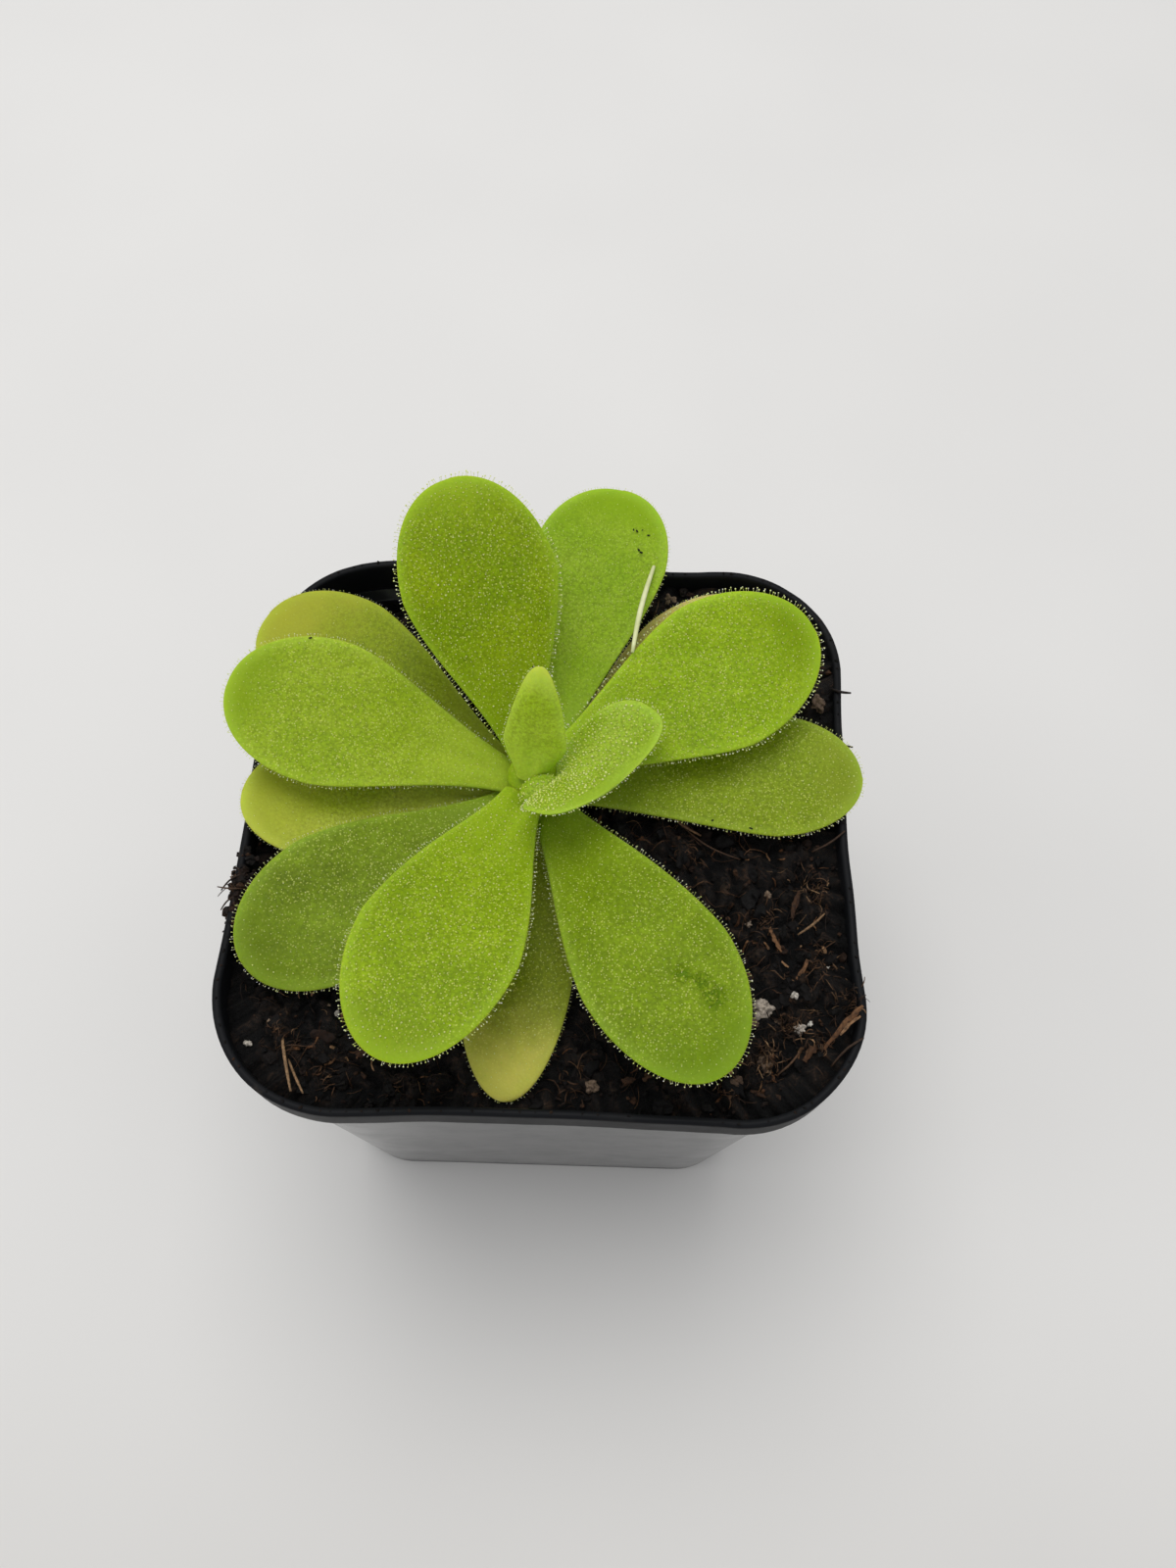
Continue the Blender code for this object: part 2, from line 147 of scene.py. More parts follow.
LOOKS = {
    "leaf_upper_back": Look(
        (122, 150, 0), (140, 164, 6), (144, 170, 6), 0.8, 0.6, 0, 0.74, 0.09, 0.52, 0.085, 0),
    "leaf_upper_right": Look(
        (134, 166, 4), (158, 186, 32), (124, 152, 0), 0.72, 0.7, 0, 0.78, 0.095, 0.46, 0.085, 0),
    "leaf_upper_front": Look(
        (124, 152, 0), (148, 175, 24), (132, 158, 4), 0.8, 0.7, 0, 0.78, 0.095, 0.42, 0.07, 0),
    "leaf_middle_back": Look(
        (130, 165, 0), (152, 180, 44), (134, 167, 4), 0.7, 0.4, 0, 1.2, 0.055, 0.28, 0.05, 0),
    "leaf_middle_front": Look(
        (112, 138, 0), (134, 160, 26), (108, 138, 0), 0.8, 0.7, 0, 1.05, 0.07, 0.42, 0.065, 0),
    "leaf_middle_left": Look(
        (136, 164, 8), (158, 180, 44), (132, 160, 6), 0.8, 0.7, 0, 0.95, 0.075, 0.36, 0.06, 0),
    "leaf_lower_right": Look(
        (122, 144, 10), (142, 164, 38), (134, 150, 38), 0.8, 0.7, 0, 0.84, 0.08, 0.38, 0.065, 0),
    "leaf_lower_front": Look(
        (102, 124, 0), (134, 160, 34), (100, 122, 6), 0.75, 0.7, 0, 0.95, 0.075, 0.36, 0.06, 0),
    "leaf_lower_back": Look(
        (134, 154, 14), (150, 164, 38), (172, 174, 54), 0.6, 0.3, 0.4, 1.8, 0.055, 0.24, 0.045, 0),
    "leaf_lowest_front": Look(
        (116, 134, 10), (140, 154, 38), (214, 208, 96), 0.6, 0.7, 0.2, 0.95, 0.07, 0.24, 0.05, 0),
    "leaf_lowest_left": Look(
        (158, 176, 38), (182, 194, 70), (166, 174, 50), 0.6, 0.4, 0.3, 1.4, 0.055, 0.24, 0.045, 0),
    "leaf_lowest_back": Look(
        (188, 182, 92), (200, 190, 108), (212, 198, 120), 0.5, 0.2, 0.3, 2.0, 0.055, 0.2, 0.045, 0),
    "leaf_young_pointed": Look(
        (170, 196, 42), (182, 204, 66), (206, 224, 84), 0.7, 0.3, 0, 0, 0, 0.28, 0.055, 0),
    "leaf_young_spoon": Look(
        (138, 168, 18), (162, 190, 60), (154, 184, 48), 0.8, 0.5, 0, 0.52, 0.125, 0.3, 0.075, 0.12),
}
# Wrinkled patches of skin on one leaf: share and side of each, and its reach in both.
WRINKLED_LEAF = "leaf_middle_front"
WRINKLES = ((0.815, 0.47, 0.034, 0.17), (0.765, 0.40, 0.026, 0.12), (0.720, 0.23, 0.024, 0.10))
# How light soaks into green flesh.
FLESH = {"Subsurface_Weight": 0.6, "Subsurface_Scale": 1.5 * MM, "Subsurface_Radius": (0.65, 1.0, 0.10)}
# The drops and beads are clear; their pale colours are painted light, the glow they gather from the lamps.
DROP_COLOURS = ((222, 234, 146), (188, 209, 74))
BEAD_COLOURS = ((240, 246, 196), (206, 222, 124))
STEM_COLOURS = ((138, 168, 8), (158, 186, 34))
# These two are linear.
STRAW_COLOURS = ((0.78, 0.80, 0.46), (0.60, 0.64, 0.30))

# The seeds of the random draws.
CRUMB_SEED = 21
FIBRE_SEED = 33
CHIP_SEED = 44
GRAIN_SEED = 5
SPECK_SEED = 8
LEAF_SEED = 100

# The camera, worked out from the pot's rim in the photograph.
CAMERA_PLACE = (3.57 * MM, -68.26 * MM, 213.04 * MM)
CAMERA_RIGHT = (0.9994, 0.0255, 0.0217)
CAMERA_UP = (-0.0325, 0.8914, 0.4520)
CAMERA_BACK = (-0.0079, -0.4524, 0.8918)
CAMERA_LENS_MM = 29.25
CAMERA_SENSOR_MM = 36.0


def linear(colour):
    """An 8-bit sRGB colour as the linear colour that a shader takes."""
    shares = [channel / 255 for channel in colour]
    return [share / 12.92 if share <= 0.04045 else ((share + 0.055) / 1.055) ** 2.4 for share in shares]


# ---------------------------------------------------------------- materials


class Finish:
    """A material and its node tree, with short ways to add nodes to it."""

    def __init__(self, name):
        self.material = bpy.data.materials.new(name)
        self.material.use_nodes = True
        self.tree = self.material.node_tree
        self.shader = self.tree.nodes["Principled BSDF"]
        self.place = self.node("ShaderNodeTexCoord").outputs["Object"]

    def plug(self, socket, value):
        """Feed a socket from another socket, or set its constant."""
        if isinstance(value, bpy.types.NodeSocket):
            self.tree.links.new(value, socket)
        else:
            socket.default_value = value

    def node(self, kind, inputs=None, **settings):
        made = self.tree.nodes.new(kind)
        for name, value in settings.items():
            setattr(made, name, value)
        for name, value in (inputs or {}).items():
            self.plug(made.inputs[name], value)
        return made

    def set(self, **values):
        """Set the shader's sockets, whose names are given with _ for each space."""
        for name, value in values.items():
            self.plug(self.shader.inputs[name.replace("_", " ")], value)

    def axis(self, name):
        """The place along one axis."""
        return self.node("ShaderNodeSeparateXYZ", {"Vector": self.place}).outputs[name]

    def noise(self, size, detail=3.0, roughness=0.55, distortion=0.0):
        """A noise whose patches are about size across, as a value from 0 to 1."""
        settings = {"Vector": self.place, "Scale": 1 / size, "Detail": detail,
                    "Roughness": roughness, "Distortion": distortion}
        return self.node("ShaderNodeTexNoise", settings).outputs["Fac"]

    def dots(self, size, randomness=1.0):
        """The distance to the nearest of many points that are about size apart."""
        settings = {"Vector": self.place, "Scale": 1 / size, "Randomness": randomness}
        return self.node("ShaderNodeTexVoronoi", settings).outputs["Distance"]

    def value(self, name):
        return self.node("ShaderNodeAttribute", attribute_name=name).outputs["Fac"]

    def spread(self, value, low, high, to_low=0.0, to_high=1.0):
        """Stretch the range from low to high over the range from to_low to to_high, with soft ends."""
        settings = {"Value": value, "From Min": low, "From Max": high, "To Min": to_low, "To Max": to_high}
        return self.node("ShaderNodeMapRange", settings, interpolation_type="SMOOTHSTEP").outputs["Result"]

    def math(self, operation, first, second):
        return self.node("ShaderNodeMath", {0: first, 1: second}, operation=operation).outputs[0]

    def times(self, first, second):
        return self.math("MULTIPLY", first, second)

    def mix(self, factor, first, second, blend="MIX"):
        made = self.node("ShaderNodeMix", data_type="RGBA", blend_type=blend)
        colours = [socket for socket in made.inputs if socket.type == "RGBA"]
        self.plug(made.inputs[0], factor)
        for socket, value in zip(colours, (first, second)):
            self.plug(socket, value if isinstance(value, bpy.types.NodeSocket) else (*value, 1.0))
        return [socket for socket in made.outputs if socket.type == "RGBA"][0]

    def shaded(self, colour, shade):
        """A colour times a brightness."""
        grey = self.node("ShaderNodeCombineColor", {"Red": shade, "Green": shade, "Blue": shade})
        return self.mix(1.0, colour, grey.outputs[0], "MULTIPLY")

    def ramp(self, value, stops):
        made = self.node("ShaderNodeValToRGB", {"Fac": value})
        points = made.color_ramp.elements
        while len(points) < len(stops):
            points.new(0.5)
        for point, (position, colour) in zip(points, stops):
            point.position = position
            point.color = (*colour, 1.0)
        return made.outputs["Color"]

    def bump(self, height, distance, strength=1.0, normal=None):
        settings = {"Height": height, "Distance": distance, "Strength": strength}
        if normal is not None:
            settings["Normal"] = normal
        return self.node("ShaderNodeBump", settings).outputs["Normal"]


def leaf_finish(name, look):
    """Fleshy, faintly see-through green skin, set with fine pale glands."""
    finish = Finish(name + "_flesh")
    along = finish.value("along")
    edge = finish.value("edge")
    pale = linear(look.pale)
    clouds = finish.noise(7 * MM, 4.0, 0.6, 0.4)
    colour = finish.mix(finish.spread(clouds, 0.28, 0.80), linear(look.main), pale)
    grain = finish.noise(0.40 * MM, 3.0, 0.75)
    colour = finish.shaded(colour, finish.spread(grain, 0.30, 0.70, 0.70, 1.20))
    glands = finish.dots(0.36 * MM)
    patches = finish.spread(finish.noise(1.3 * MM, 2.0), 0.26, 0.56)
    fleck = finish.times(finish.spread(glands, 0.36, 0.14), patches)
    fleck_colour = [0.50 + 0.34 * channel for channel in pale]
    fleck_colour[2] *= 0.30
    colour = finish.mix(finish.times(fleck, look.flecks), colour, fleck_colour)
    wander = finish.times(finish.noise(4 * MM, 3.0), 0.24)
    reach = finish.math("ADD", along, finish.math("SUBTRACT", wander, 0.12))
    colour = finish.mix(finish.spread(reach, look.tip_from, 1.0, 0.0, 0.92), colour, linear(look.tip))
    # The foot of the blade is painted paler: painted light that lifts the shade the leaves above cast on it.
    foot = finish.spread(along, 0.46, 0.10, 0.0, 0.60)
    colour = finish.mix(foot, colour, [1.12 * channel + 0.01 for channel in pale])
    # The margin is painted paler: a painted sheen along the blade's edge.
    rim = finish.spread(edge, 0.80, 1.0, 0.0, 0.30)
    colour = finish.mix(rim, colour, [min(1, 1.35 * channel + 0.04) for channel in pale])
    creases = None
    if name == WRINKLED_LEAF:
        folds = finish.spread(finish.noise(0.75 * MM, 2.0, 0.5, 1.5), 0.56, 0.44)
        creases = finish.times(folds, finish.value("wrinkled"))
        # The creases are also painted darker green: painted shade in the folds.
        colour = finish.mix(finish.times(creases, 0.9), colour, linear((88, 122, 0)))
    if look.scorch:
        brown_edge = finish.times(finish.spread(edge, 0.95, 1.0), finish.spread(reach, 0.86, 1.04))
        patchy = finish.times(brown_edge, finish.spread(finish.noise(2.2 * MM), 0.40, 0.62))
        colour = finish.mix(finish.times(patchy, look.scorch), colour, linear((112, 66, 24)))
    finish.set(Base_Color=colour, Roughness=finish.spread(clouds, 0.3, 0.7, 0.42, 0.56))
    finish.set(Specular_IOR_Level=0.14, IOR=1.42)
    finish.set(**FLESH)
    low = finish.bump(clouds, 0.25 * MM, 0.5)
    if creases:
        low = finish.bump(finish.math("SUBTRACT", 1.0, creases), 0.25 * MM, 1.0, low)
    pores = finish.bump(glands, 0.05 * MM, 0.7, low)
    finish.set(Normal=finish.bump(grain, 0.05 * MM, 0.9, pores))
    return finish.material


def cloudy_finish(name, size, detail, colours, spread=(0.3, 0.7), relief=None, **settings):
    """Two colours that run into each other in clouds, with a low relief from the same clouds."""
    finish = Finish(name)
    clouds = finish.noise(size, detail)
    finish.set(Base_Color=finish.mix(finish.spread(clouds, *spread), *colours), **settings)
    if relief:
        finish.set(Normal=finish.bump(clouds, *relief))
    return finish.material


def drop_finish(name, colours):
    """Sticky drops, wet and cloudy, painted pale: painted light for the glow that clear drops gather."""
    return cloudy_finish(
        name, 0.9 * MM, 2.0, [linear(colour) for colour in colours], (0.38, 0.62), (0.02 * MM, 0.3),
        Roughness=0.12, IOR=1.42, Specular_IOR_Level=0.9, Subsurface_Weight=0.6,
        Subsurface_Scale=0.6 * MM, Subsurface_Radius=(0.8, 1.0, 0.25))


def plastic_finish():
    """Thin black moulded plastic: a glossy wall under a duller lip, both a little dusty, with painted shade
    that dims the wall's reflection towards its foot.
    """
    finish = Finish("black_plastic")
    height = finish.axis("Z")
    dust = finish.noise(6 * MM, 6.0, 0.7)
    ragged = finish.math("ADD", height, finish.spread(dust, 0.3, 0.7, -0.25 * MM, 0.25 * MM))
    lip = finish.spread(ragged, POT_HEIGHT - LIP_HEIGHT + 0.3 * MM, POT_HEIGHT - LIP_HEIGHT + 1.3 * MM)
    specks = finish.spread(finish.dots(7.5 * MM), 0.13, 0.05)
    blots = finish.spread(finish.noise(1.1 * MM, 2.0), 0.40, 0.56)
    marks = finish.times(specks, blots)
    dusty = finish.spread(dust, 0.45, 0.8, 0.0, 0.30)
    colour = finish.mix(dusty, (0.0075, 0.008, 0.0095), (0.028, 0.027, 0.026))
    colour = finish.mix(finish.times(marks, 0.6), colour, (0.045, 0.040, 0.035))
    # Painted shade: the wall's reflection fades over its lowest 12 mm, standing in for the contact shadow at
    # its foot.
    standing = finish.spread(height, 1.0 * MM, 12.0 * MM, 0.0, 0.85)
    gloss = finish.times(standing, finish.spread(lip, 0.0, 1.0, 1.0, 0.08))
    gloss = finish.times(gloss, finish.spread(marks, 0.0, 1.0, 1.0, 0.3))
    finish.set(Base_Color=colour, IOR=1.55, Specular_IOR_Level=gloss)
    dull = finish.spread(dust, 0.3, 0.75, 0.0, 0.08)
    finish.set(Roughness=finish.math("ADD", dull, finish.spread(lip, 0.0, 1.0, 0.13, 0.45)))
    finish.set(Normal=finish.bump(finish.noise(0.5 * MM, 2.0), 0.005 * MM, 0.5))
    return finish.material


def peat_finish():
    """Damp dark peat with rusty and tan bits in it, and painted shade that makes it nearly black in its
    hollows.
    """
    finish = Finish("damp_peat")
    clumps = finish.noise(1.9 * MM, 6.0, 0.75, 0.8)
    crumbs = finish.noise(0.5 * MM, 5.0, 0.8, 0.5)
    colour = finish.ramp(clumps, [(0.40, (0.0030, 0.0024, 0.0024)), (0.52, (0.0125, 0.0092, 0.0080)),
                                  (0.60, (0.042, 0.025, 0.016)), (0.74, (0.12, 0.072, 0.045))])
    colour = finish.mix(finish.spread(crumbs, 0.56, 0.68, 0.0, 0.75), colour, (0.115, 0.070, 0.043))
    # Painted shade: the peat is darkened to near black where its relief is low.
    hollows = finish.spread(finish.value("lift"), 0.35, -0.55)
    colour = finish.mix(hollows, colour, (0.0009, 0.0008, 0.0010))
    finish.set(Base_Color=colour, Roughness=finish.spread(crumbs, 0.3, 0.7, 0.50, 0.95))
    finish.set(Specular_IOR_Level=0.28)
    lumpy = finish.bump(clumps, 1.1 * MM, 1.0)
    finish.set(Normal=finish.bump(crumbs, 0.45 * MM, 1.0, lumpy))
    return finish.material


# Loose bits: the colours that their tint runs along, the size of their grain, and how rough they are.
TINTED = {
    "peat_crumb": (((0.0, (0.0020, 0.0016, 0.0016)), (0.62, (0.0050, 0.0034, 0.0029)),
                    (0.84, (0.020, 0.0095, 0.0056)), (0.95, (0.055, 0.026, 0.013)),
                    (1.0, (0.10, 0.052, 0.027))), 0.4 * MM, 0.85),
    "plant_fibre": (((0.0, (0.0060, 0.0036, 0.0028)), (0.45, (0.030, 0.016, 0.0095)),
                     (0.75, (0.125, 0.064, 0.032)), (1.0, (0.40, 0.25, 0.13))), 0.3 * MM, 0.6),
    "perlite": (((0.0, (0.085, 0.052, 0.034)), (0.5, (0.25, 0.18, 0.125)), (1.0, (0.72, 0.69, 0.62))),
                0.4 * MM, 0.85),
    "bark": (((0.0, (0.020, 0.0095, 0.0055)), (0.5, (0.13, 0.058, 0.024)), (1.0, (0.42, 0.25, 0.13))),
             0.5 * MM, 0.75),
}


def tinted_finish(name):
    """Loose bits whose colour runs along its stops by the tint that each carries."""
    stops, grain, roughness = TINTED[name]
    finish = Finish(name)
    rough = finish.noise(grain, 4.0, 0.7)
    colour = finish.ramp(finish.value("tint"), stops)
    shade = finish.spread(rough, 0.30, 0.72, 0.40, 1.35)
    finish.set(Base_Color=finish.shaded(colour, shade), Specular_IOR_Level=0.25)
    finish.set(Roughness=finish.spread(rough, 0.3, 0.7, roughness - 0.15, roughness + 0.1))
    finish.set(Normal=finish.bump(rough, grain * 0.4, 0.8))
    return finish.material


def straw_finish():
    """A dry pale blade of grass."""
    return cloudy_finish("dry_straw", 2 * MM, 3.0, STRAW_COLOURS, Roughness=0.5)


def stem_finish():
    """The stem, in the green of the leaves' feet and a little paler."""
    colours = [linear(colour) for colour in STEM_COLOURS]
    return cloudy_finish("crown_flesh", 1.2 * MM, 4.0, colours, relief=(0.1 * MM, 0.5),
                         Roughness=0.5, Specular_IOR_Level=0.14, **FLESH)


def floor_finish():
    """A pale sheet, with painted shade that darkens it a little towards the front."""
    finish = Finish("pale_floor")
    clouds = finish.noise(90 * MM, 2.0)
    colour = finish.mix(finish.spread(clouds, 0.3, 0.7), (0.785, 0.777, 0.762), (0.807, 0.799, 0.783))
    # Painted shade: the floor darkens towards the front, where less light falls on it.
    painted_front_shade = finish.spread(finish.axis("Y"), -30 * MM, -140 * MM, 0.0, 0.8)
    colour = finish.mix(painted_front_shade, colour, (0.66, 0.645, 0.62))
    finish.set(Base_Color=colour, Roughness=0.65, Specular_IOR_Level=0.2)
    return finish.material


# ---------------------------------------------------------------- shapes


# Points with faces that all have equally many corners, and what each point carries for its finish.
Shape = namedtuple("Shape", "points faces finish values")


def placed(name, data):
    """A new object in the scene."""
    made = bpy.data.objects.new(name, data)
    bpy.context.scene.collection.objects.link(made)
    return made


def make_piece(name, shapes, materials, replaced=(), smooth=True):
    """One object of several shapes, which rides on the part's only body."""
    points, faces, finishes = [], [], []
    names = sorted({key for shape in shapes for key in shape.values})
    values = {key: [] for key in names}
    start = 0
    for shape in shapes:
        points.append(shape.points)
        faces.extend((shape.faces + start).tolist())
        finishes.extend([shape.finish] * len(shape.faces))
        for key in names:
            values[key].append(np.broadcast_to(shape.values.get(key, 0.0), (len(shape.points),)))
        start += len(shape.points)
    mesh = bpy.data.meshes.new(name)
    mesh.from_pydata(np.concatenate(points).tolist(), [], faces)
    for material in materials:
        mesh.materials.append(material)
    mesh.polygons.foreach_set("material_index", finishes)
    mesh.polygons.foreach_set("use_smooth", [smooth] * len(faces))
    for key in names:
        carried = mesh.attributes.new(key, "FLOAT", "POINT")
        carried.data.foreach_set("value", np.concatenate(values[key]).astype(np.float32))
    mesh.update()
    piece = placed(name, mesh)
    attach(piece, "root")
    if replaced:
        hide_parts(*replaced)
    return piece


def ball(segments, rings):
    """A unit ball as triangles."""
    points = [(0.0, 0.0, 1.0)]
    for ring in range(1, rings):
        polar = pi * ring / rings
        for segment in range(segments):
            turn = 2 * pi * segment / segments
            reach = sin(polar)
            points.append((reach * cos(turn), reach * sin(turn), cos(polar)))
    points.append((0.0, 0.0, -1.0))
    faces = []
    last = len(points) - 1
    for segment in range(segments):
        following = (segment + 1) % segments
        faces.append((0, 1 + segment, 1 + following))
        for ring in range(rings - 2):
            low, high = 1 + ring * segments, 1 + (ring + 1) * segments
            faces.append((low + segment, high + segment, high + following))
            faces.append((low + segment, high + following, low + following))
        final = 1 + (rings - 2) * segments
        faces.append((last, final + following, final + segment))
    return np.array(points), np.array(faces)


def stalk():
    """A three-sided hair of unit length and root radius, standing along +Z."""
    levels = ((0.0, 1.0), (0.5, 0.7), (1.0, 0.5))
    points = [(radius * cos(turn), radius * sin(turn), height)
              for height, radius in levels for turn in (0.0, 2.1, 4.2)]
    faces = []
    for level in range(2):
        for side in range(3):
            low, high = 3 * level, 3 * level + 3
            following = (side + 1) % 3
            faces.append((low + side, low + following, high + following))
            faces.append((low + side, high + following, high + side))
    return np.array(points), np.array(faces)


def stamp(template, places, axes, finish=0, **values):
    """Copies of a template: one at each place, with its own X, Y and Z axes as rows of axes."""
    points, faces = template
    count = len(places)
    moved = places[:, None, :] + np.einsum("vk,nkj->nvj", points, axes)
    shifted = faces[None] + (np.arange(count) * len(points))[:, None, None]
    carried = {key: np.repeat(np.broadcast_to(value, (count,)), len(points)) for key, value in values.items()}
    return Shape(moved.reshape(-1, 3), shifted.reshape(-1, faces.shape[1]), finish, carried)


def unit(vectors):
    return vectors / np.maximum(np.linalg.norm(vectors, axis=-1, keepdims=True), 1e-12)


def frames_along(directions, generator):
    """Three square axes for each direction, the third along it and the others at a random turn."""
    third = unit(directions)
    helper = unit(generator.normal(size=third.shape))
    first = unit(np.cross(helper, third))
    return np.stack([first, np.cross(third, first), third], 1)


def rounded_square(half, radius, bow, corner_steps=CORNER_STEPS, side_steps=SIDE_STEPS):
    """Points round a square with round corners, whose sides bow inwards by bow at their middles."""
    straight = half - radius
    points = []
    for quarter in range(4):
        turn = quarter * pi / 2
        local = []
        for step in range(corner_steps):
            angle = pi / 2 * step / (corner_steps - 1)
            local.append((straight + radius * cos(angle), straight + radius * sin(angle)))
        for step in range(1, side_steps):
            share = 1 - 2 * step / side_steps
            local.append((straight * share, half - bow * (1 - share * share)))
        cosine, sine = cos(turn), sin(turn)
        points.extend((x * cosine - y * sine, x * sine + y * cosine) for x, y in local)
    return np.array(points)


def pot_half(z):
    """Half of the pot's outer width at height z, lip and all."""
    step_z = POT_HEIGHT - LIP_HEIGHT
    lip_z = step_z + LIP_STEP_HEIGHT
    below = POT_WIDTH / 2 - LIP_DRAFT - LIP_STEP
    heights = (0.0, step_z, lip_z, POT_HEIGHT)
    halves = (BASE_WIDTH / 2, below, POT_WIDTH / 2 - LIP_DRAFT, POT_WIDTH / 2)
    return float(np.interp(z, heights, halves))


def pot_ring(z, inset, *steps):
    radius = BASE_CORNER_RADIUS + (POT_CORNER_RADIUS - BASE_CORNER_RADIUS) * z / POT_HEIGHT
    return rounded_square(pot_half(z) - inset, radius - inset, POT_SIDE_BOW * z / POT_HEIGHT, *steps)


def close_ends(piece, count):
    """Close the first and the last ring of count points, and turn every face outwards."""
    builder = bmesh.new()
    builder.from_mesh(piece.data)
    builder.verts.ensure_lookup_table()
    for start, order in ((0, -1), (len(builder.verts) - count, 1)):
        builder.faces.new([builder.verts[start + index] for index in range(count)][::order])
    bmesh.ops.recalc_face_normals(builder, faces=builder.faces)
    builder.to_mesh(piece.data)
    builder.free()


def smooth_all(piece):
    piece.data.polygons.foreach_set("use_smooth", [True] * len(piece.data.polygons))


def ring_faces(rows, count):
    """Quads between rows of count points each, joined round."""
    row = np.arange(rows - 1)[:, None] * count
    index = np.arange(count)[None, :]
    following = (index + 1) % count
    quads = np.stack([row + index, row + following, row + count + following, row + count + index], -1)
    return quads.reshape(-1, 4)


# ---------------------------------------------------------------- pot


def pot_profile():
    """Height and inset of each ring, from the underside up the outside, over the rim and down inside."""
    step_z = POT_HEIGHT - LIP_HEIGHT
    lip_z = step_z + LIP_STEP_HEIGHT
    outside = [(0.0, 3.0 * MM), (0.0, 0.9 * BASE_CHAMFER), (0.12 * MM, 0.45 * BASE_CHAMFER)]
    outside += [(0.45 * MM, 0.12 * MM), (1.0 * MM, 0.0)]
    outside += [(z, 0.0) for z in np.linspace(4 * MM, step_z - 0.5 * MM, 24)]
    outside += [(step_z, 0.0), (step_z + 0.3 * MM, 0.0), (lip_z, 0.02 * MM), (lip_z + 0.25 * MM, 0.0)]
    outside += [(z, 0.0) for z in np.linspace(lip_z + 0.8 * MM, POT_HEIGHT - 0.45 * MM, 6)]
    middle = POT_WALL / 2
    rim = []
    for step in range(1, 8):
        angle = pi * step / 8
        rim.append((POT_HEIGHT - 0.32 * MM + 0.36 * MM * sin(angle), middle - middle * cos(angle)))
    inside = [(z, POT_WALL) for z in np.linspace(POT_HEIGHT - 0.5 * MM, lip_z + 0.3 * MM, 6)]
    inside += [(lip_z, POT_WALL), (step_z, POT_WALL)]
    inside += [(z, POT_WALL) for z in np.linspace(step_z - 1 * MM, 2.4 * MM, 10)]
    inside += [(1.4 * MM, 1.3 * POT_WALL), (POT_WALL, 2.2 * POT_WALL)]
    return outside + rim + inside


def make_pot(material):
    """The moulded pot, with a slightly uneven rim and four drain holes in its floor."""
    profile = pot_profile()
    rings = []
    for z, inset in profile:
        ring = pot_ring(z, inset)
        share = max(0.0, (z - 0.5 * POT_HEIGHT) / (0.5 * POT_HEIGHT))
        wobble = np.array([noise.noise(Vector((x, y, 0.3 * z)) / (9 * MM)) for x, y in ring])
        nicks = np.array([noise.noise(Vector((x, y, 0.0)) / (2.2 * MM)) for x, y in ring])
        outward = unit(ring) * (wobble * RIM_WAVE * (0.4 + share))[:, None]
        height = z + RIM_WAVE * share ** 6 * (0.8 * wobble + 0.5 * nicks)
        rings.append(np.column_stack([ring + outward, height]))
    count = len(rings[0])
    points = np.concatenate(rings)
    shape = Shape(points, ring_faces(len(rings), count), 0, {})
    pot = make_piece("pot_shell", [shape], [material], ("pot",))
    close_ends(pot, count)
    for side_x, side_y in ((1, 1), (-1, 1), (-1, -1), (1, -1)):
        bore_floor(pot, side_x * DRAIN_OFFSET, side_y * DRAIN_OFFSET)
    smooth_all(pot)
    bpy.context.view_layer.objects.active = pot
    pot.select_set(True)
    bpy.ops.object.shade_auto_smooth(angle=radians(35))
    pot.select_set(False)
    return pot


def bore_floor(pot, x, y):
    """Cut one drain hole and apply the cut."""
    bpy.ops.mesh.primitive_cylinder_add(vertices=36, radius=DRAIN_RADIUS, depth=8 * MM, location=(x, y, 0.0))
    cutter = bpy.context.object
    cut = pot.modifiers.new("drain", "BOOLEAN")
    cut.operation = "DIFFERENCE"
    cut.solver = "EXACT"
    cut.object = cutter
    bpy.context.view_layer.objects.active = pot
    bpy.ops.object.modifier_apply(modifier=cut.name)
    bpy.data.objects.remove(cutter, do_unlink=True)


# ---------------------------------------------------------------- soil


def tree_of(names):
    """A search tree over the faces of some of the frame's nodes."""
    points, faces = [], []
    for name in names:
        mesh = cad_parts[name].data
        start = len(points)
        points.extend(vertex.co.copy() for vertex in mesh.vertices)
        faces.extend([start + corner for corner in polygon.vertices] for polygon in mesh.polygons)
    return BVHTree.FromPolygons(points, faces)


SOIL_TREE = tree_of(["soil"])
LEAF_TREE = tree_of(list(LEAVES))
UP = Vector((0.0, 0.0, 1.0))


def bed_height(x, y):
    """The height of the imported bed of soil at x, y, without the hole for the roots."""
    hit = SOIL_TREE.ray_cast(Vector((x, y, 0.1)), -UP)[0]
    if hit is None:
        hit = SOIL_TREE.find_nearest(Vector((x, y, 68 * MM)))[0]
    return hit.z if hit.z > SOIL_LOWEST else SOIL_PLUG


def clearance(x, y, z):
    """How far the point is from the leaves: the lowest above it, or the nearest beside it."""
    hit = LEAF_TREE.ray_cast(Vector((x, y, z - 1 * MM)), UP)[0]
    above = 1.0 if hit is None else hit.z - z
    return min(above, LEAF_TREE.find_nearest(Vector((x, y, z)))[3])


def crumble(x, y):
    """How far the peat stands up, from 5 mm clods down to crumbs with sharp creases between them."""
    place = Vector((x, y, 0.0))
    clods = noise.noise(place / (4.6 * MM))
    lumps = 3.2 * abs(noise.noise(place / (2.6 * MM) + UP)) - 0.75
    grains = 1.6 * abs(noise.noise(place / (1.0 * MM) + 2 * UP)) - 0.35
    return SOIL_ROUGHNESS * (clods + lumps + grains)


def bed_surface(x, y):
    """The height of the crumbly bed that shows, kept under the leaves that lie on it."""
    base = bed_height(x, y)
    lift = crumble(x, y)
    return base + min(lift, 0.35 * clearance(x, y, base))


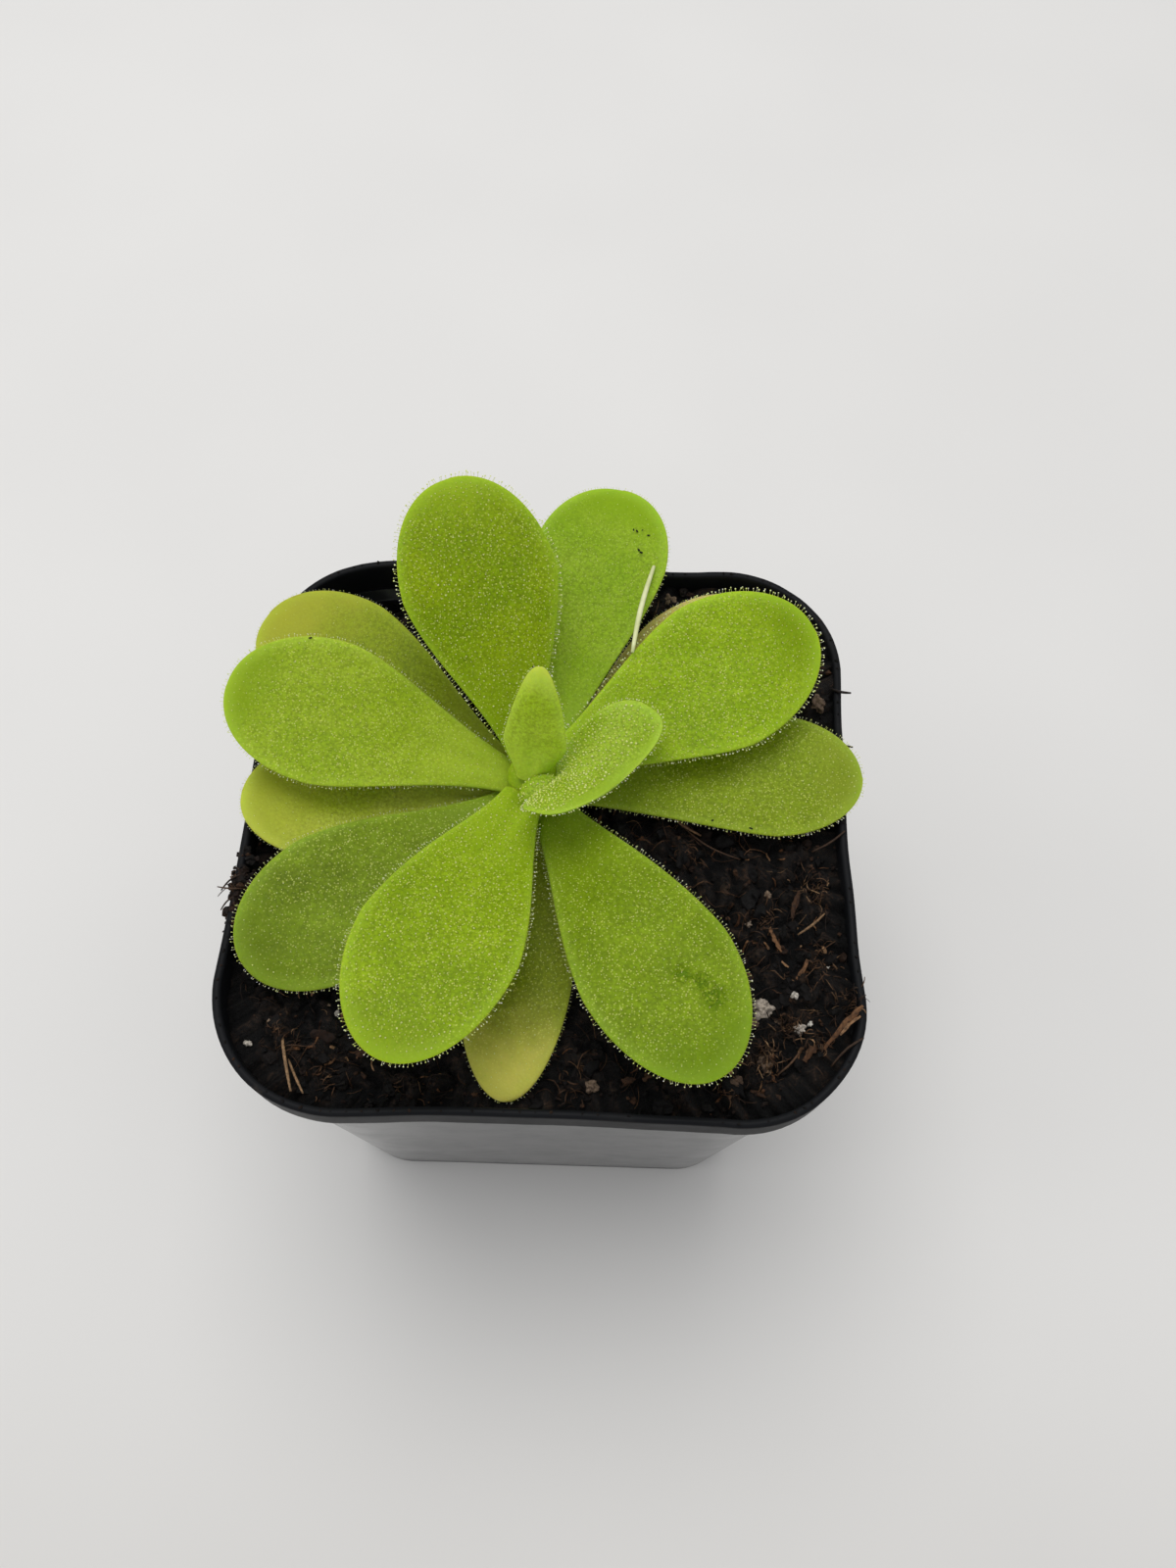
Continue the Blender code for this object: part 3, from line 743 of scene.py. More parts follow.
def make_soil(material):
    """The bed, whose crumbly top reaches the pot's inner wall, with a plain side and bottom.

    Where its edge stands just over the foot of the lip's step, its side crosses the pot's wall.
    """
    floor_z = POT_WALL + 0.3 * MM
    steps = (SOIL_CORNER_STEPS, SOIL_SIDE_STEPS)
    rings = []
    for z in (floor_z, 20 * MM, 40 * MM, 56 * MM):
        ring = pot_ring(z, POT_WALL + 0.25 * MM, *steps)
        rings.append(np.column_stack([ring, np.full(len(ring), z)]))
    outline = pot_ring(POT_HEIGHT - LIP_HEIGHT - 1 * MM, POT_WALL, *steps)
    inner = outline * (1 - 1.2 * MM / (POT_WIDTH / 2))
    heights = [bed_surface(x, y) for x, y in inner]
    wide = pot_ring(POT_HEIGHT - 1 * MM, POT_WALL, *steps)
    edge_z = POT_HEIGHT - LIP_HEIGHT
    rings.append(np.array([(*(b if z > edge_z else a), z) for a, b, z in zip(outline, wide, heights)]))
    for number in range(SOIL_RINGS - 1, 0, -1):
        share = (number / SOIL_RINGS) ** 0.9
        rings.append(np.array([(x * share, y * share, bed_surface(x * share, y * share)) for x, y in inner]))
    count = len(outline)
    points = np.concatenate(rings)
    # Each point's lift is carried so that the peat can paint shade into its hollows.
    lifts = np.array([crumble(x, y) for x, y, _ in points]) / SOIL_ROUGHNESS
    soil = make_piece("soil_bed", [Shape(points, ring_faces(len(rings), count), 0, {"lift": lifts})],
                      [material], ("soil",))
    close_ends(soil, count)
    smooth_all(soil)
    return soil


def broken_ball(detail, seed, flatness=0.75, sharpness=0.8):
    """A lump of unit size with an uneven surface."""
    builder = bmesh.new()
    bmesh.ops.create_icosphere(builder, subdivisions=detail, radius=1.0)
    for vertex in builder.verts:
        shift = noise.noise(vertex.co * 1.3 + Vector((seed, 0, 0)))
        chips = noise.noise(vertex.co * 3.1 + Vector((0, seed, 0)))
        vertex.co *= 1 + sharpness * shift + 0.5 * sharpness * chips
        vertex.co.z *= flatness
    builder.verts.index_update()
    points = np.array([vertex.co[:] for vertex in builder.verts])
    faces = np.array([[vertex.index for vertex in face.verts] for face in builder.faces])
    builder.free()
    return points, faces


def scattered(count, low, high, draw):
    """Places and sizes for loose bits that lie on the bed with room under the leaves."""
    found = []
    while len(found) < count:
        x, y = draw.uniform(-BED_REACH, BED_REACH), draw.uniform(-BED_REACH, BED_REACH)
        if abs(x) + abs(y) > 1.72 * BED_REACH:
            continue
        size = low + (high - low) * draw.random() ** 2.6
        z = bed_surface(x, y)
        if clearance(x, y, z) < 1.6 * size + 0.25 * MM:
            continue
        found.append((x, y, z + 0.25 * size, size))
    return np.array(found)


def lump_shapes(spots, detail, draw, generator, tints):
    """Lumps at spots of x, y, z and size, of a few kinds, each turned at random."""
    shapes = []
    order = np.array([draw.randrange(LUMP_KINDS) for _ in spots])
    for kind in range(LUMP_KINDS):
        chosen = spots[order == kind]
        if not len(chosen):
            continue
        axes = frames_along(generator.normal(size=(len(chosen), 3)) + (0, 0, 1.2), generator)
        stretch = generator.uniform(0.7, 1.3, size=(len(chosen), 3, 1))
        template = broken_ball(detail, 10.0 + 7.3 * kind)
        sizes = chosen[:, 3][:, None, None]
        shapes.append(stamp(template, chosen[:, :3], axes * stretch * sizes, tint=tints[order == kind]))
    return shapes


def make_crumbs(material):
    """Crumbs of peat all over the bed, some on the rim, and a clod that hangs over its left side."""
    draw = random.Random(CRUMB_SEED)
    generator = np.random.default_rng(CRUMB_SEED)
    shapes = []
    for count, low, high, detail, power in ((CRUMBS, 0.28, 1.15, 2, 1.3), (FINE_CRUMBS, 0.12, 0.34, 1, 1)):
        spots = scattered(count, low * MM, high * MM, draw)
        shapes += lump_shapes(spots, detail, draw, generator, generator.random(count) ** power)
    on_rim = []
    outline = pot_ring(POT_HEIGHT, 0.55 * POT_WALL)
    for _ in range(RIM_CRUMBS):
        x, y = outline[draw.randrange(len(outline))]
        on_rim.append((x, y, POT_HEIGHT + 0.06 * MM, draw.uniform(0.07, 0.24) * MM))
    shapes += lump_shapes(np.array(on_rim), 1, draw, generator, generator.random(len(on_rim)) * 0.9)
    shapes += lump_shapes(clod_over_rim(draw), 2, draw, generator, 0.55 + 0.4 * generator.random(CLOD_CRUMBS))
    return make_piece("soil_crumbs", shapes, [material], smooth=False)


def clod_over_rim(draw):
    """Crumbs heaped on the left side of the rim, where a clod spilled over it."""
    spots = []
    for _ in range(CLOD_CRUMBS):
        along = draw.gauss(0, 1.0)
        over = draw.random()
        x = -34.8 * MM - 3.2 * MM * over
        y = -11.6 * MM + 2.3 * MM * along
        z = POT_HEIGHT + 0.1 * MM + 0.9 * MM * exp(-along * along) * draw.random() - 1.3 * MM * over ** 4
        spots.append((x, y, z, draw.uniform(0.22, 0.62) * MM))
    return np.array(spots)


def tube(path, radius, sides=4, tint=0.5, flatness=1.0, ragged=None):
    """A strand along a path, thin at its ends; flatness flattens it and ragged makes it uneven."""
    path = np.array(path)
    ahead = unit(np.gradient(path, axis=0))
    across = unit(np.cross(ahead, (0.21, 0.13, 1.0)))
    above = np.cross(across, ahead) * flatness
    share = np.linspace(0, 1, len(path))
    widths = radius * (0.45 + 0.55 * np.sin(pi * np.clip(share, 0.04, 0.96)) ** 0.5)
    turns = np.arange(sides) * 2 * pi / sides
    sideways = np.cos(turns)[None, :, None] * across[:, None, :]
    upright = np.sin(turns)[None, :, None] * above[:, None, :]
    offsets = (sideways + upright) * widths[:, None, None]
    if ragged is not None:
        offsets = offsets * ragged.uniform(0.45, 1.3, size=(len(path), sides, 1))
    points = path[:, None, :] + offsets
    ends = np.array([path[0], path[-1]])
    faces = ring_faces(len(path), sides)
    index = np.arange(sides)
    following = (index + 1) % sides
    first = np.full(sides, len(path) * sides)
    last = first + 1
    start = (len(path) - 1) * sides
    caps = np.concatenate([np.stack([following, index, first], 1),
                           np.stack([start + index, start + following, last], 1)])
    every = np.concatenate([points.reshape(-1, 3), ends])
    halves = np.concatenate([faces[:, [0, 1, 2]], faces[:, [0, 2, 3]], caps])
    return Shape(every, halves, 0, {"tint": np.full(len(every), tint)})


def lying_path(x, y, heading, length, draw, lift, steps):
    """A wandering line over the bed."""
    path = []
    turn = draw.uniform(-0.35, 0.35)
    for step in range(steps):
        share = step / (steps - 1)
        arch = sin(pi * share)
        path.append((x, y, bed_surface(x, y) + lift * (0.5 + arch)))
        heading += turn + draw.uniform(-0.2, 0.2)
        x += length / (steps - 1) * cos(heading)
        y += length / (steps - 1) * sin(heading)
    return path


def arc_between(start, end, rise, sideways=0.0, steps=9):
    """A bowed line from start to end, with points in millimetres."""
    start, end = np.array(start) * MM, np.array(end) * MM
    level = unit(np.cross(end - start, (0, 0, 1.0)))
    share = np.linspace(0, 1, steps)[:, None]
    bow = np.sin(pi * share)
    return start + (end - start) * share + bow * (rise * MM * np.array((0, 0, 1.0)) + sideways * MM * level)


# Strands that the photograph shows one by one: two ends, rise and sideways bow, radius, all in
# millimetres, and the tint.
STRANDS = (
    ((-30.0, -26.9, 67.9), (-27.3, -35.4, 70.3), 0.2, 0.1, 0.20, 0.90),
    ((-28.4, -31.4, 68.6), (-25.9, -35.6, 70.4), 0.1, 0.05, 0.16, 0.88),
    ((14.9, 2.0, 67.6), (19.2, -1.4, 67.9), 0.6, 0.5, 0.20, 0.80),
    ((16.6, 0.4, 67.6), (24.0, -4.6, 68.2), 0.4, 0.9, 0.12, 0.55),
    ((36.4, 19.5, 70.0), (38.9, 18.7, 70.4), 0.2, 0.3, 0.20, 0.10),
    ((36.9, 11.2, 70.0), (38.6, 10.7, 70.3), 0.2, 0.2, 0.18, 0.15),
    ((-36.0, -9.5, 70.5), (-38.8, -11.6, 70.0), 0.4, 0.3, 0.12, 0.45),
    ((-35.8, -11.5, 70.6), (-39.2, -11.3, 70.4), 0.5, -0.3, 0.11, 0.60),
    ((-36.4, -12.2, 70.4), (-38.4, -14.2, 70.2), 0.2, 0.3, 0.11, 0.50),
    ((30.6, -14.4, 68.6), (33.9, -11.8, 69.2), 0.3, 0.2, 0.16, 0.86),
    ((32.8, -3.6, 69.0), (36.8, -1.2, 70.3), 0.2, 0.3, 0.15, 0.50),
    ((33.6, -30.4, 69.0), (37.2, -27.4, 70.6), 0.3, -0.3, 0.16, 0.50),
    ((27.4, -31.4, 68.0), (30.4, -28.2, 68.6), 0.5, 0.3, 0.14, 0.66),
)


# Pale straws: two ends, rise and sideways bow, and radius, all in millimetres.
STRAWS = (
    ((12.5, 31.9, 78.6), (9.8, 18.2, 79.2), 0.1, 0.3, 0.34),
)


def loose_path(draw, shortest, longest, lift, steps):
    """A line that lies somewhere on the open bed, or nothing if a leaf or the rim is in its way."""
    x, y = draw.uniform(-35, 35) * MM, draw.uniform(-35, 35) * MM
    if abs(x) + abs(y) > 60 * MM or clearance(x, y, bed_surface(x, y)) < LOOSE_ROOM:
        return None
    length = draw.uniform(shortest, longest) * MM
    path = lying_path(x, y, draw.uniform(0, 2 * pi), length, draw, lift, steps)
    return None if max(abs(path[-1][0]), abs(path[-1][1])) > LOOSE_REACH else path


# Tufts of matted fibre: x, y and reach in millimetres, how many fibres, and their tint.
TUFTS = (
    (32.7, -8.0, 2.6, 60, 0.74), (36.0, -22.6, 1.9, 80, 0.72), (29.0, -25.6, 2.4, 70, 0.76),
    (26.2, -29.6, 2.6, 90, 0.80), (27.0, -12.0, 2.0, 30, 0.70), (33.4, -17.8, 2.4, 50, 0.72),
    (33.0, -28.0, 2.2, 60, 0.70), (-35.6, -11.2, 2.5, 120, 0.76), (-30.5, -29.0, 2.4, 30, 0.66),
    (22.0, -33.2, 2.0, 30, 0.72), (-24.0, -33.0, 2.4, 24, 0.66), (35.4, 12.0, 1.6, 30, 0.70),
    (18.0, -3.0, 2.4, 30, 0.62), (-16.0, -33.6, 2.0, 20, 0.62), (4.0, -34.0, 2.4, 24, 0.66),
)


def tuft_shapes(draw):
    """Short fibres that run every way in a loose mat."""
    shapes = []
    for x, y, reach, count, tint in TUFTS:
        for _ in range(count):
            start = (x + draw.gauss(0, 0.4) * reach, y + draw.gauss(0, 0.4) * reach)
            heading, length = draw.uniform(0, 2 * pi), draw.uniform(0.5, 1.6)
            end = (start[0] + length * cos(heading), start[1] + length * sin(heading))
            ends = []
            for place in (start, end):
                ground = POT_HEIGHT / MM
                if abs(place[0]) * MM < INSIDE_RIM:
                    ground = bed_surface(place[0] * MM, place[1] * MM) / MM
                ends.append((*place, ground + draw.uniform(0.05, 0.6)))
            path = arc_between(*ends, draw.uniform(0.0, 0.4), draw.uniform(-0.3, 0.3), 5)
            shapes.append(tube(path, draw.uniform(0.03, 0.09) * MM, 3, tint * draw.uniform(0.4, 1.2)))
    return shapes


def make_fibres(material):
    """Brown and rusty strands of sphagnum and root all over the bed, and those that stand out."""
    draw = random.Random(FIBRE_SEED)
    shapes = tuft_shapes(draw)
    while len(shapes) < FIBRES:
        path = loose_path(draw, 0.9, 4.2, draw.uniform(0.08, 0.42) * MM, 6)
        if path:
            shapes.append(tube(path, draw.uniform(0.025, 0.08) * MM, 3, draw.random() ** 1.5 * 0.90))
    for start, end, rise, sideways, radius, tint in STRANDS:
        shapes.append(tube(arc_between(start, end, rise, sideways), radius * MM, 5, tint))
    for start, end, rise, sideways, radius in STRAWS:
        straw = tube(arc_between(start, end, rise, sideways), radius * MM, 8)
        shapes.append(straw._replace(finish=1))
    return make_piece("plant_fibres", shapes, [material, straw_finish()])


# Pale grains: x, y, radius in millimetres and tint.
GRAINS = (
    (15.4, 34.2, 1.05, 0.30), (34.7, 17.4, 1.15, 0.22), (26.0, -23.3, 1.45, 0.66),
    (27.9, -24.9, 0.60, 0.20), (24.9, -25.3, 0.85, 0.22), (29.8, -22.2, 0.50, 0.85),
    (30.2, -26.0, 0.75, 0.72), (31.5, -25.3, 0.40, 0.95), (-23.9, -25.4, 0.42, 0.85),
    (-24.7, -24.6, 0.22, 0.5), (27.2, -9.4, 0.55, 0.45), (24.9, -12.8, 0.45, 0.55),
    (33.0, 2.9, 0.70, 0.30), (32.6, -0.6, 0.42, 0.85), (20.0, 1.6, 0.40, 0.8),
    (22.2, 1.1, 0.36, 0.7), (-33.6, -29.4, 0.50, 0.8), (6.2, -33.2, 0.8, 0.25),
    (23.4, 35.0, 0.42, 0.35), (29.5, 32.4, 0.36, 0.4), (25.8, -30.6, 1.2, 0.10),
    (22.8, -32.3, 0.8, 0.06), (-31.2, -27.0, 0.22, 0.45), (34.2, -18.2, 0.30, 0.9),
)


def make_grains(material):
    """Perlite and pale grit, half sunk in the peat."""
    shapes = []
    generator = np.random.default_rng(GRAIN_SEED)
    for number, (x, y, radius, tint) in enumerate(GRAINS):
        template = broken_ball(4 if radius > 0.7 else 3, 3.7 * number + 1.0, 0.8, 0.9)
        place = np.array([[x * MM, y * MM, bed_surface(x * MM, y * MM) + 0.25 * radius * MM]])
        axes = frames_along(generator.normal(size=(1, 3)) * 0.5 + (0, 0, 1), generator) * 0.75 * radius * MM
        shapes.append(stamp(template, place, axes, tint=tint))
    return make_piece("perlite_grains", shapes, [material])


# Bark chips: two ends, width and thickness in millimetres, and tint.
CHIPS = (
    ((37.2, -23.8, 71.3), (34.0, -27.2, 69.9), 0.60, 0.35, 0.54),
    ((36.7, -24.6, 71.0), (32.8, -28.5, 69.3), 0.55, 0.30, 0.40),
    ((36.9, -25.0, 71.1), (34.6, -27.0, 70.1), 0.40, 0.30, 0.70),
    ((32.4, -27.9, 69.0), (30.6, -29.8, 68.6), 0.9, 0.4, 0.25),
    ((27.3, -13.6, 68.5), (28.6, -16.6, 68.5), 0.6, 0.35, 0.56),
    ((31.0, -9.0, 69.0), (30.0, -12.4, 68.7), 0.7, 0.4, 0.12),
    ((24.4, -33.2, 67.8), (27.8, -34.0, 68.1), 0.9, 0.4, 0.10),
    ((-13.4, -30.6, 67.2), (-16.8, -29.8, 67.2), 0.7, 0.35, 0.10),
    ((35.0, 6.4, 69.4), (35.8, 9.2, 70.0), 0.7, 0.4, 0.35),
    ((30.2, -19.9, 68.4), (31.6, -17.6, 68.8), 0.55, 0.35, 0.55),
)


def make_chips(material):
    """Splinters of bark, flat, ragged and tapered, with small flakes of it all over the bed."""
    draw = random.Random(CHIP_SEED)
    ragged = np.random.default_rng(CHIP_SEED)
    shapes = []
    for start, end, width, thickness, tint in CHIPS:
        path = arc_between(start, end, 0.15, 0.15)
        shapes.append(tube(path, width / 2 * MM, 8, tint, thickness / width, ragged))
    while len(shapes) < FLAKES:
        path = loose_path(draw, 0.35, 1.7, 0.12 * MM, 5)
        if path:
            width = draw.uniform(0.07, 0.26) * MM
            shapes.append(tube(path, width, 6, draw.random() ** 2.0 * 0.9, 0.4, ragged))
    return make_piece("bark_chips", shapes, [material], smooth=False)


# ---------------------------------------------------------------- leaves


Spine = namedtuple("Spine", "middle across out")


def leaf_spine(leaf):
    """Points down the middle of the blade, with the directions across it and out of its upper face."""
    share = np.linspace(0, 1, SPINE_STEPS + 1)
    slope = np.radians(leaf.rise - leaf.bend * share ** 1.3)
    heading = np.radians(leaf.azimuth + leaf.swerve * share)
    ahead = np.stack([np.cos(slope) * np.cos(heading), np.cos(slope) * np.sin(heading), np.sin(slope)], 1)
    start = radians(leaf.azimuth)
    middle = np.zeros((SPINE_STEPS + 1, 3))
    middle[0] = (CROWN_X + leaf.root_r * MM * cos(start),
                 CROWN_Y + leaf.root_r * MM * sin(start), leaf.root_z * MM)
    step = leaf.length * MM / SPINE_STEPS
    middle[1:] = middle[0] + np.cumsum((ahead[1:] + ahead[:-1]) / 2 * step, 0)
    level = np.stack([-np.sin(heading), np.cos(heading), 0 * heading], 1)
    upright = np.cross(ahead, level)
    tilt = np.radians(leaf.roll) * share
    across = level * np.cos(tilt)[:, None] + upright * np.sin(tilt)[:, None]
    return Spine(middle, across, np.cross(ahead, across))


def past_widest(leaf, share):
    return np.clip((share - leaf.widest) / (1 - leaf.widest), 0, 1)


def half_width(leaf, share):
    """Half of the blade's width at each share of its length: an easing neck, then a round end."""
    along = np.clip(share / leaf.widest, 0, 1)
    ease = 0.6 * along * along * (3 - 2 * along) + 0.4 * along
    neck = leaf.neck + (1 - leaf.neck) * ease
    end = np.sqrt(np.maximum(0, 1 - past_widest(leaf, share) ** leaf.tip))
    return leaf.width * MM / 2 * np.where(share < leaf.widest, neck, end)


def nearness_to_edge(leaf, share, side):
    """0 down the middle of the blade and 1 all along its outline."""
    end = 1 - past_widest(leaf, share) ** leaf.tip
    return np.sqrt(np.clip(1 - end * (1 - side * side), 0, 1))


def read_off(stops, places, rows):
    """Rows of three numbers at stops between the places where they are known."""
    return np.stack([np.interp(stops, places, rows[:, axis]) for axis in range(3)], -1)


def at_share(rows, share):
    return read_off(share, np.linspace(0, 1, len(rows)), rows)


def blade_surface(leaf, spine, share, side, face):
    """Points of the blade's upper face (face 1), lower face (-1) or middle (0)."""
    half = half_width(leaf, share)
    edge = nearness_to_edge(leaf, share, side)
    out = at_share(spine.out, share)
    place = at_share(spine.middle, share) + (half * side)[..., None] * at_share(spine.across, share)
    seed = leaf.azimuth * 0.37
    wave = WAVE * np.sin(2 * pi * (1.9 * share + seed)) * side * np.abs(side)
    fading = np.clip(1.1 - 1.3 * share, 0, 1) * np.clip(8 * share, 0, 1)
    dent = -CHANNEL * np.exp(-(side / 0.22) ** 2) * fading
    body = BLADE_THICKNESS / 2 * (1.12 - 0.14 * share) * np.sqrt(np.clip(1 - edge ** 7, 0, 1))
    lift = leaf.cup * half * side ** 2 + wave
    if face > 0:
        swell = RELIEF * relief(leaf, share, side) * (1 - edge ** 4)
        lift = lift + body + dent + swell
    elif face < 0:
        lift = lift - body
    return place + lift[..., None] * out


def relief(leaf, share, side):
    """A slow unevenness of the upper face, as a sum of waves that differ from leaf to leaf."""
    seed = leaf.azimuth * 0.71
    length, width = leaf.length / 5.5, leaf.width / 5.0
    total = np.sin(length * share * 2.1 + 3 * side + seed)
    total = total + np.sin(width * side * 1.7 - 4 * share + 1.3 * seed)
    return (total + 0.7 * np.sin(length * share * 4.1 + width * side * 2.9 + 2.1 * seed)) / 2.7


def upper_normals(leaf, spine, share, side):
    """The directions that the upper face looks in."""
    forward = (blade_surface(leaf, spine, np.clip(share + NORMAL_STEP, 0, 1), side, 1)
               - blade_surface(leaf, spine, np.clip(share - NORMAL_STEP, 0, 1), side, 1))
    sideways = (blade_surface(leaf, spine, share, np.clip(side + NORMAL_STEP, -1, 1), 1)
                - blade_surface(leaf, spine, share, np.clip(side - NORMAL_STEP, -1, 1), 1))
    return unit(np.cross(forward, sideways))


def shares_along(leaf, start, foot_rows, end_rows, last_angle):
    """Shares from start to near the tip, evenly to the widest place and then ever closer."""
    turn = np.linspace(0, radians(last_angle), end_rows)
    foot = np.linspace(start, leaf.widest, foot_rows, endpoint=False)
    return np.concatenate([foot, leaf.widest + (1 - leaf.widest) * np.sin(turn) ** (2 / leaf.tip)])


def blade_shape(leaf, spine):
    """The closed skin of the blade, in rings that run over its upper face and back under it."""
    shares = shares_along(leaf, 0, BLADE_FOOT_ROWS, BLADE_END_ROWS, 88.6)
    sides = np.sin(np.linspace(-pi / 2, pi / 2, BLADE_COLUMNS + 1))
    share, side = np.meshgrid(shares, sides, indexing="ij")
    upper = blade_surface(leaf, spine, share, side, 1)
    lower = blade_surface(leaf, spine, share, side, -1)[:, 1:-1][:, ::-1]
    rings = np.concatenate([upper, lower], 1)
    along = np.concatenate([share, share[:, 1:-1]], 1)
    edge = nearness_to_edge(leaf, share, side)
    edges = np.concatenate([edge, edge[:, 1:-1][:, ::-1]], 1)
    count = rings.shape[1]
    wrinkled = np.zeros(along.shape)
    for middle_share, middle_side, share_reach, side_reach in WRINKLES:
        away = ((share - middle_share) / share_reach) ** 2 + ((side - middle_side) / side_reach) ** 2
        wrinkled[:, :side.shape[1]] = np.maximum(wrinkled[:, :side.shape[1]], np.exp(-away ** 2))
    values = {"along": along.ravel(), "edge": edges.ravel(), "wrinkled": wrinkled.ravel()}
    body = Shape(rings.reshape(-1, 3), ring_faces(len(shares), count), 0, values)
    ends = []
    for row, flip in ((0, True), (len(shares) - 1, False)):
        middle = rings[row].mean(0)
        points = np.concatenate([rings[row], [middle]])
        index = np.arange(count)
        following = (index + 1) % count
        fan = np.stack([index, following, np.full(count, count)], 1)
        carried = {"along": np.full(count + 1, shares[row]), "edge": np.full(count + 1, 1.0)}
        ends.append(Shape(points, fan[:, ::-1] if flip else fan, 0, carried))
    return [body, *ends]


def spaced_spots(leaf, spacing, bare, draw):
    """Shares and sides of points strewn over the upper face, no closer together than spacing."""
    area = leaf.length * leaf.width * 0.72 / (spacing * spacing)
    cell = spacing * MM
    kept, grid = [], {}
    for _ in range(int(area * 9)):
        share, side = draw.uniform(0.05, 0.995), draw.uniform(-1, 1)
        half = float(half_width(leaf, np.array(share)))
        if draw.random() > half / (leaf.width * MM / 2):
            continue
        if float(nearness_to_edge(leaf, np.array(share), np.array(side))) > DROP_MARGIN or share > 1 - bare:
            continue
        x, y = share * leaf.length * MM, side * half
        column, row = int(floor(x / cell)), int(floor(y / cell))
        near = [grid.get((column + i, row + j)) for i in (-1, 0, 1) for j in (-1, 0, 1)]
        near = [spot for group in near if group for spot in group]
        if any((x - a) ** 2 + (y - b) ** 2 < cell * cell * 0.48 for a, b in near):
            continue
        grid.setdefault((column, row), []).append((x, y))
        kept.append((share, side))
    return np.array(kept).T


def sticky_drops(look, places, normals, largest, generator, stretch=None):
    """Drops at places, a little sunk; stretch is the range by which each may be drawn out."""
    radii = look.drop * MM * generator.uniform(0.55, largest, size=len(places))
    axes = frames_along(normals, generator) * radii[:, None, None]
    if stretch:
        axes[:, 0] *= generator.uniform(*stretch, size=(len(places), 1))
    return stamp(ball(6, 4), places + normals * (0.25 * radii)[:, None], axes, 1)


def drops_on_face(leaf, look, spine, draw, generator):
    """Round sticky drops on the larger glands of the upper face."""
    share, side = spaced_spots(leaf, look.spacing, look.bare, draw)
    places = blade_surface(leaf, spine, share, side, 1)
    normals = upper_normals(leaf, spine, share, side)
    return sticky_drops(look, places, normals, 1.25, generator, (0.8, 1.3))


def outline_spots(leaf, spine, spacing, draw):
    """Points all along the blade's outline, with the directions out of it and along it."""
    shares = shares_along(leaf, 0.10, OUTLINE_ROWS, OUTLINE_ROWS, 89.5)
    found = []
    for side in (-1.0, 1.0):
        line = blade_surface(leaf, spine, shares, np.full(len(shares), side), 0)
        lengths = np.concatenate([[0], np.cumsum(np.linalg.norm(np.diff(line, axis=0), axis=1))])
        count = int(lengths[-1] / (spacing * MM))
        stops = [(index + draw.uniform(0.1, 0.9)) / count * lengths[-1] for index in range(count)]
        share = np.interp(stops, lengths, shares)
        places = read_off(stops, lengths, line)
        along = unit(read_off(stops, lengths, unit(np.gradient(line, axis=0))))
        up = unit(at_share(spine.out, share))
        found.append((places, unit(np.cross(up, along) * side), up))
    return [np.concatenate(group) for group in zip(*found)]


def marginal_hairs(leaf, look, spine, draw, generator):
    """Short glandular hairs that stand out all round the margin, each with a drop at its end."""
    places, outward, up = outline_spots(leaf, spine, HAIR_SPACING, draw)
    count = len(places)
    lean = generator.uniform(0.05, 0.75, size=(count, 1))
    stray = generator.normal(size=(count, 3)) * 0.22
    direction = unit(outward + lean * up + stray)
    lengths = look.hair * MM * generator.uniform(0.55, 1.15, size=count)
    axes = frames_along(direction, generator)
    hair_axes = axes * np.array([HAIR_RADIUS, HAIR_RADIUS, 1.0])[None, :, None]
    hair_axes[:, 2] *= lengths[:, None]
    roots = places - direction * 0.06 * MM
    stalks = stamp(stalk(), roots, hair_axes, 1)
    radii = look.bead * MM * generator.uniform(0.85, 1.4, size=count)
    beads = stamp(ball(5, 4), places + direction * lengths[:, None], axes * radii[:, None, None], 2)
    return [stalks, beads]


def folded_end(look, generator):
    """The rounded near corner of the young spoon-shaped leaf, where it folds over the crown."""
    turn = np.array([[cos(FOLD_TURN), sin(FOLD_TURN), 0.0],
                     [-sin(FOLD_TURN), cos(FOLD_TURN), 0.0], [0.0, 0.0, 1.0]])
    axes = turn * np.array(FOLD_REACH)[:, None]
    fold = stamp(ball(30, 18), np.array([FOLD_PLACE]), axes[None], along=0.5)
    directions = unit(generator.normal(size=(FOLD_DROPS, 3)) + (0, -0.4, 0.5))
    places = np.array(FOLD_PLACE) + directions @ axes
    normals = unit((directions / np.array(FOLD_REACH)) @ turn)
    return [fold, sticky_drops(look, places, normals, 1.2, generator)]


def make_leaf(number, name, leaf, wet_materials):
    """One leaf: its blade, the drops on its upper face and the hairs along its margin."""
    draw = random.Random(LEAF_SEED + number)
    generator = np.random.default_rng(LEAF_SEED + number)
    look = LOOKS[name]
    spine = leaf_spine(leaf)
    shapes = blade_shape(leaf, spine)
    if look.spacing:
        shapes.append(drops_on_face(leaf, look, spine, draw, generator))
    if name == "leaf_upper_front":
        crown_axes = np.diag(CROWN_REACH)[None]
        shapes.append(stamp(ball(28, 16), np.array([CROWN_PLACE]), crown_axes, along=0.2))
    if name == "leaf_young_spoon":
        shapes.extend(folded_end(look, generator))
    shapes.extend(marginal_hairs(leaf, look, spine, draw, generator))
    materials = [leaf_finish(name, look), *wet_materials]
    return make_piece(name + "_blade", shapes, materials, (name,))


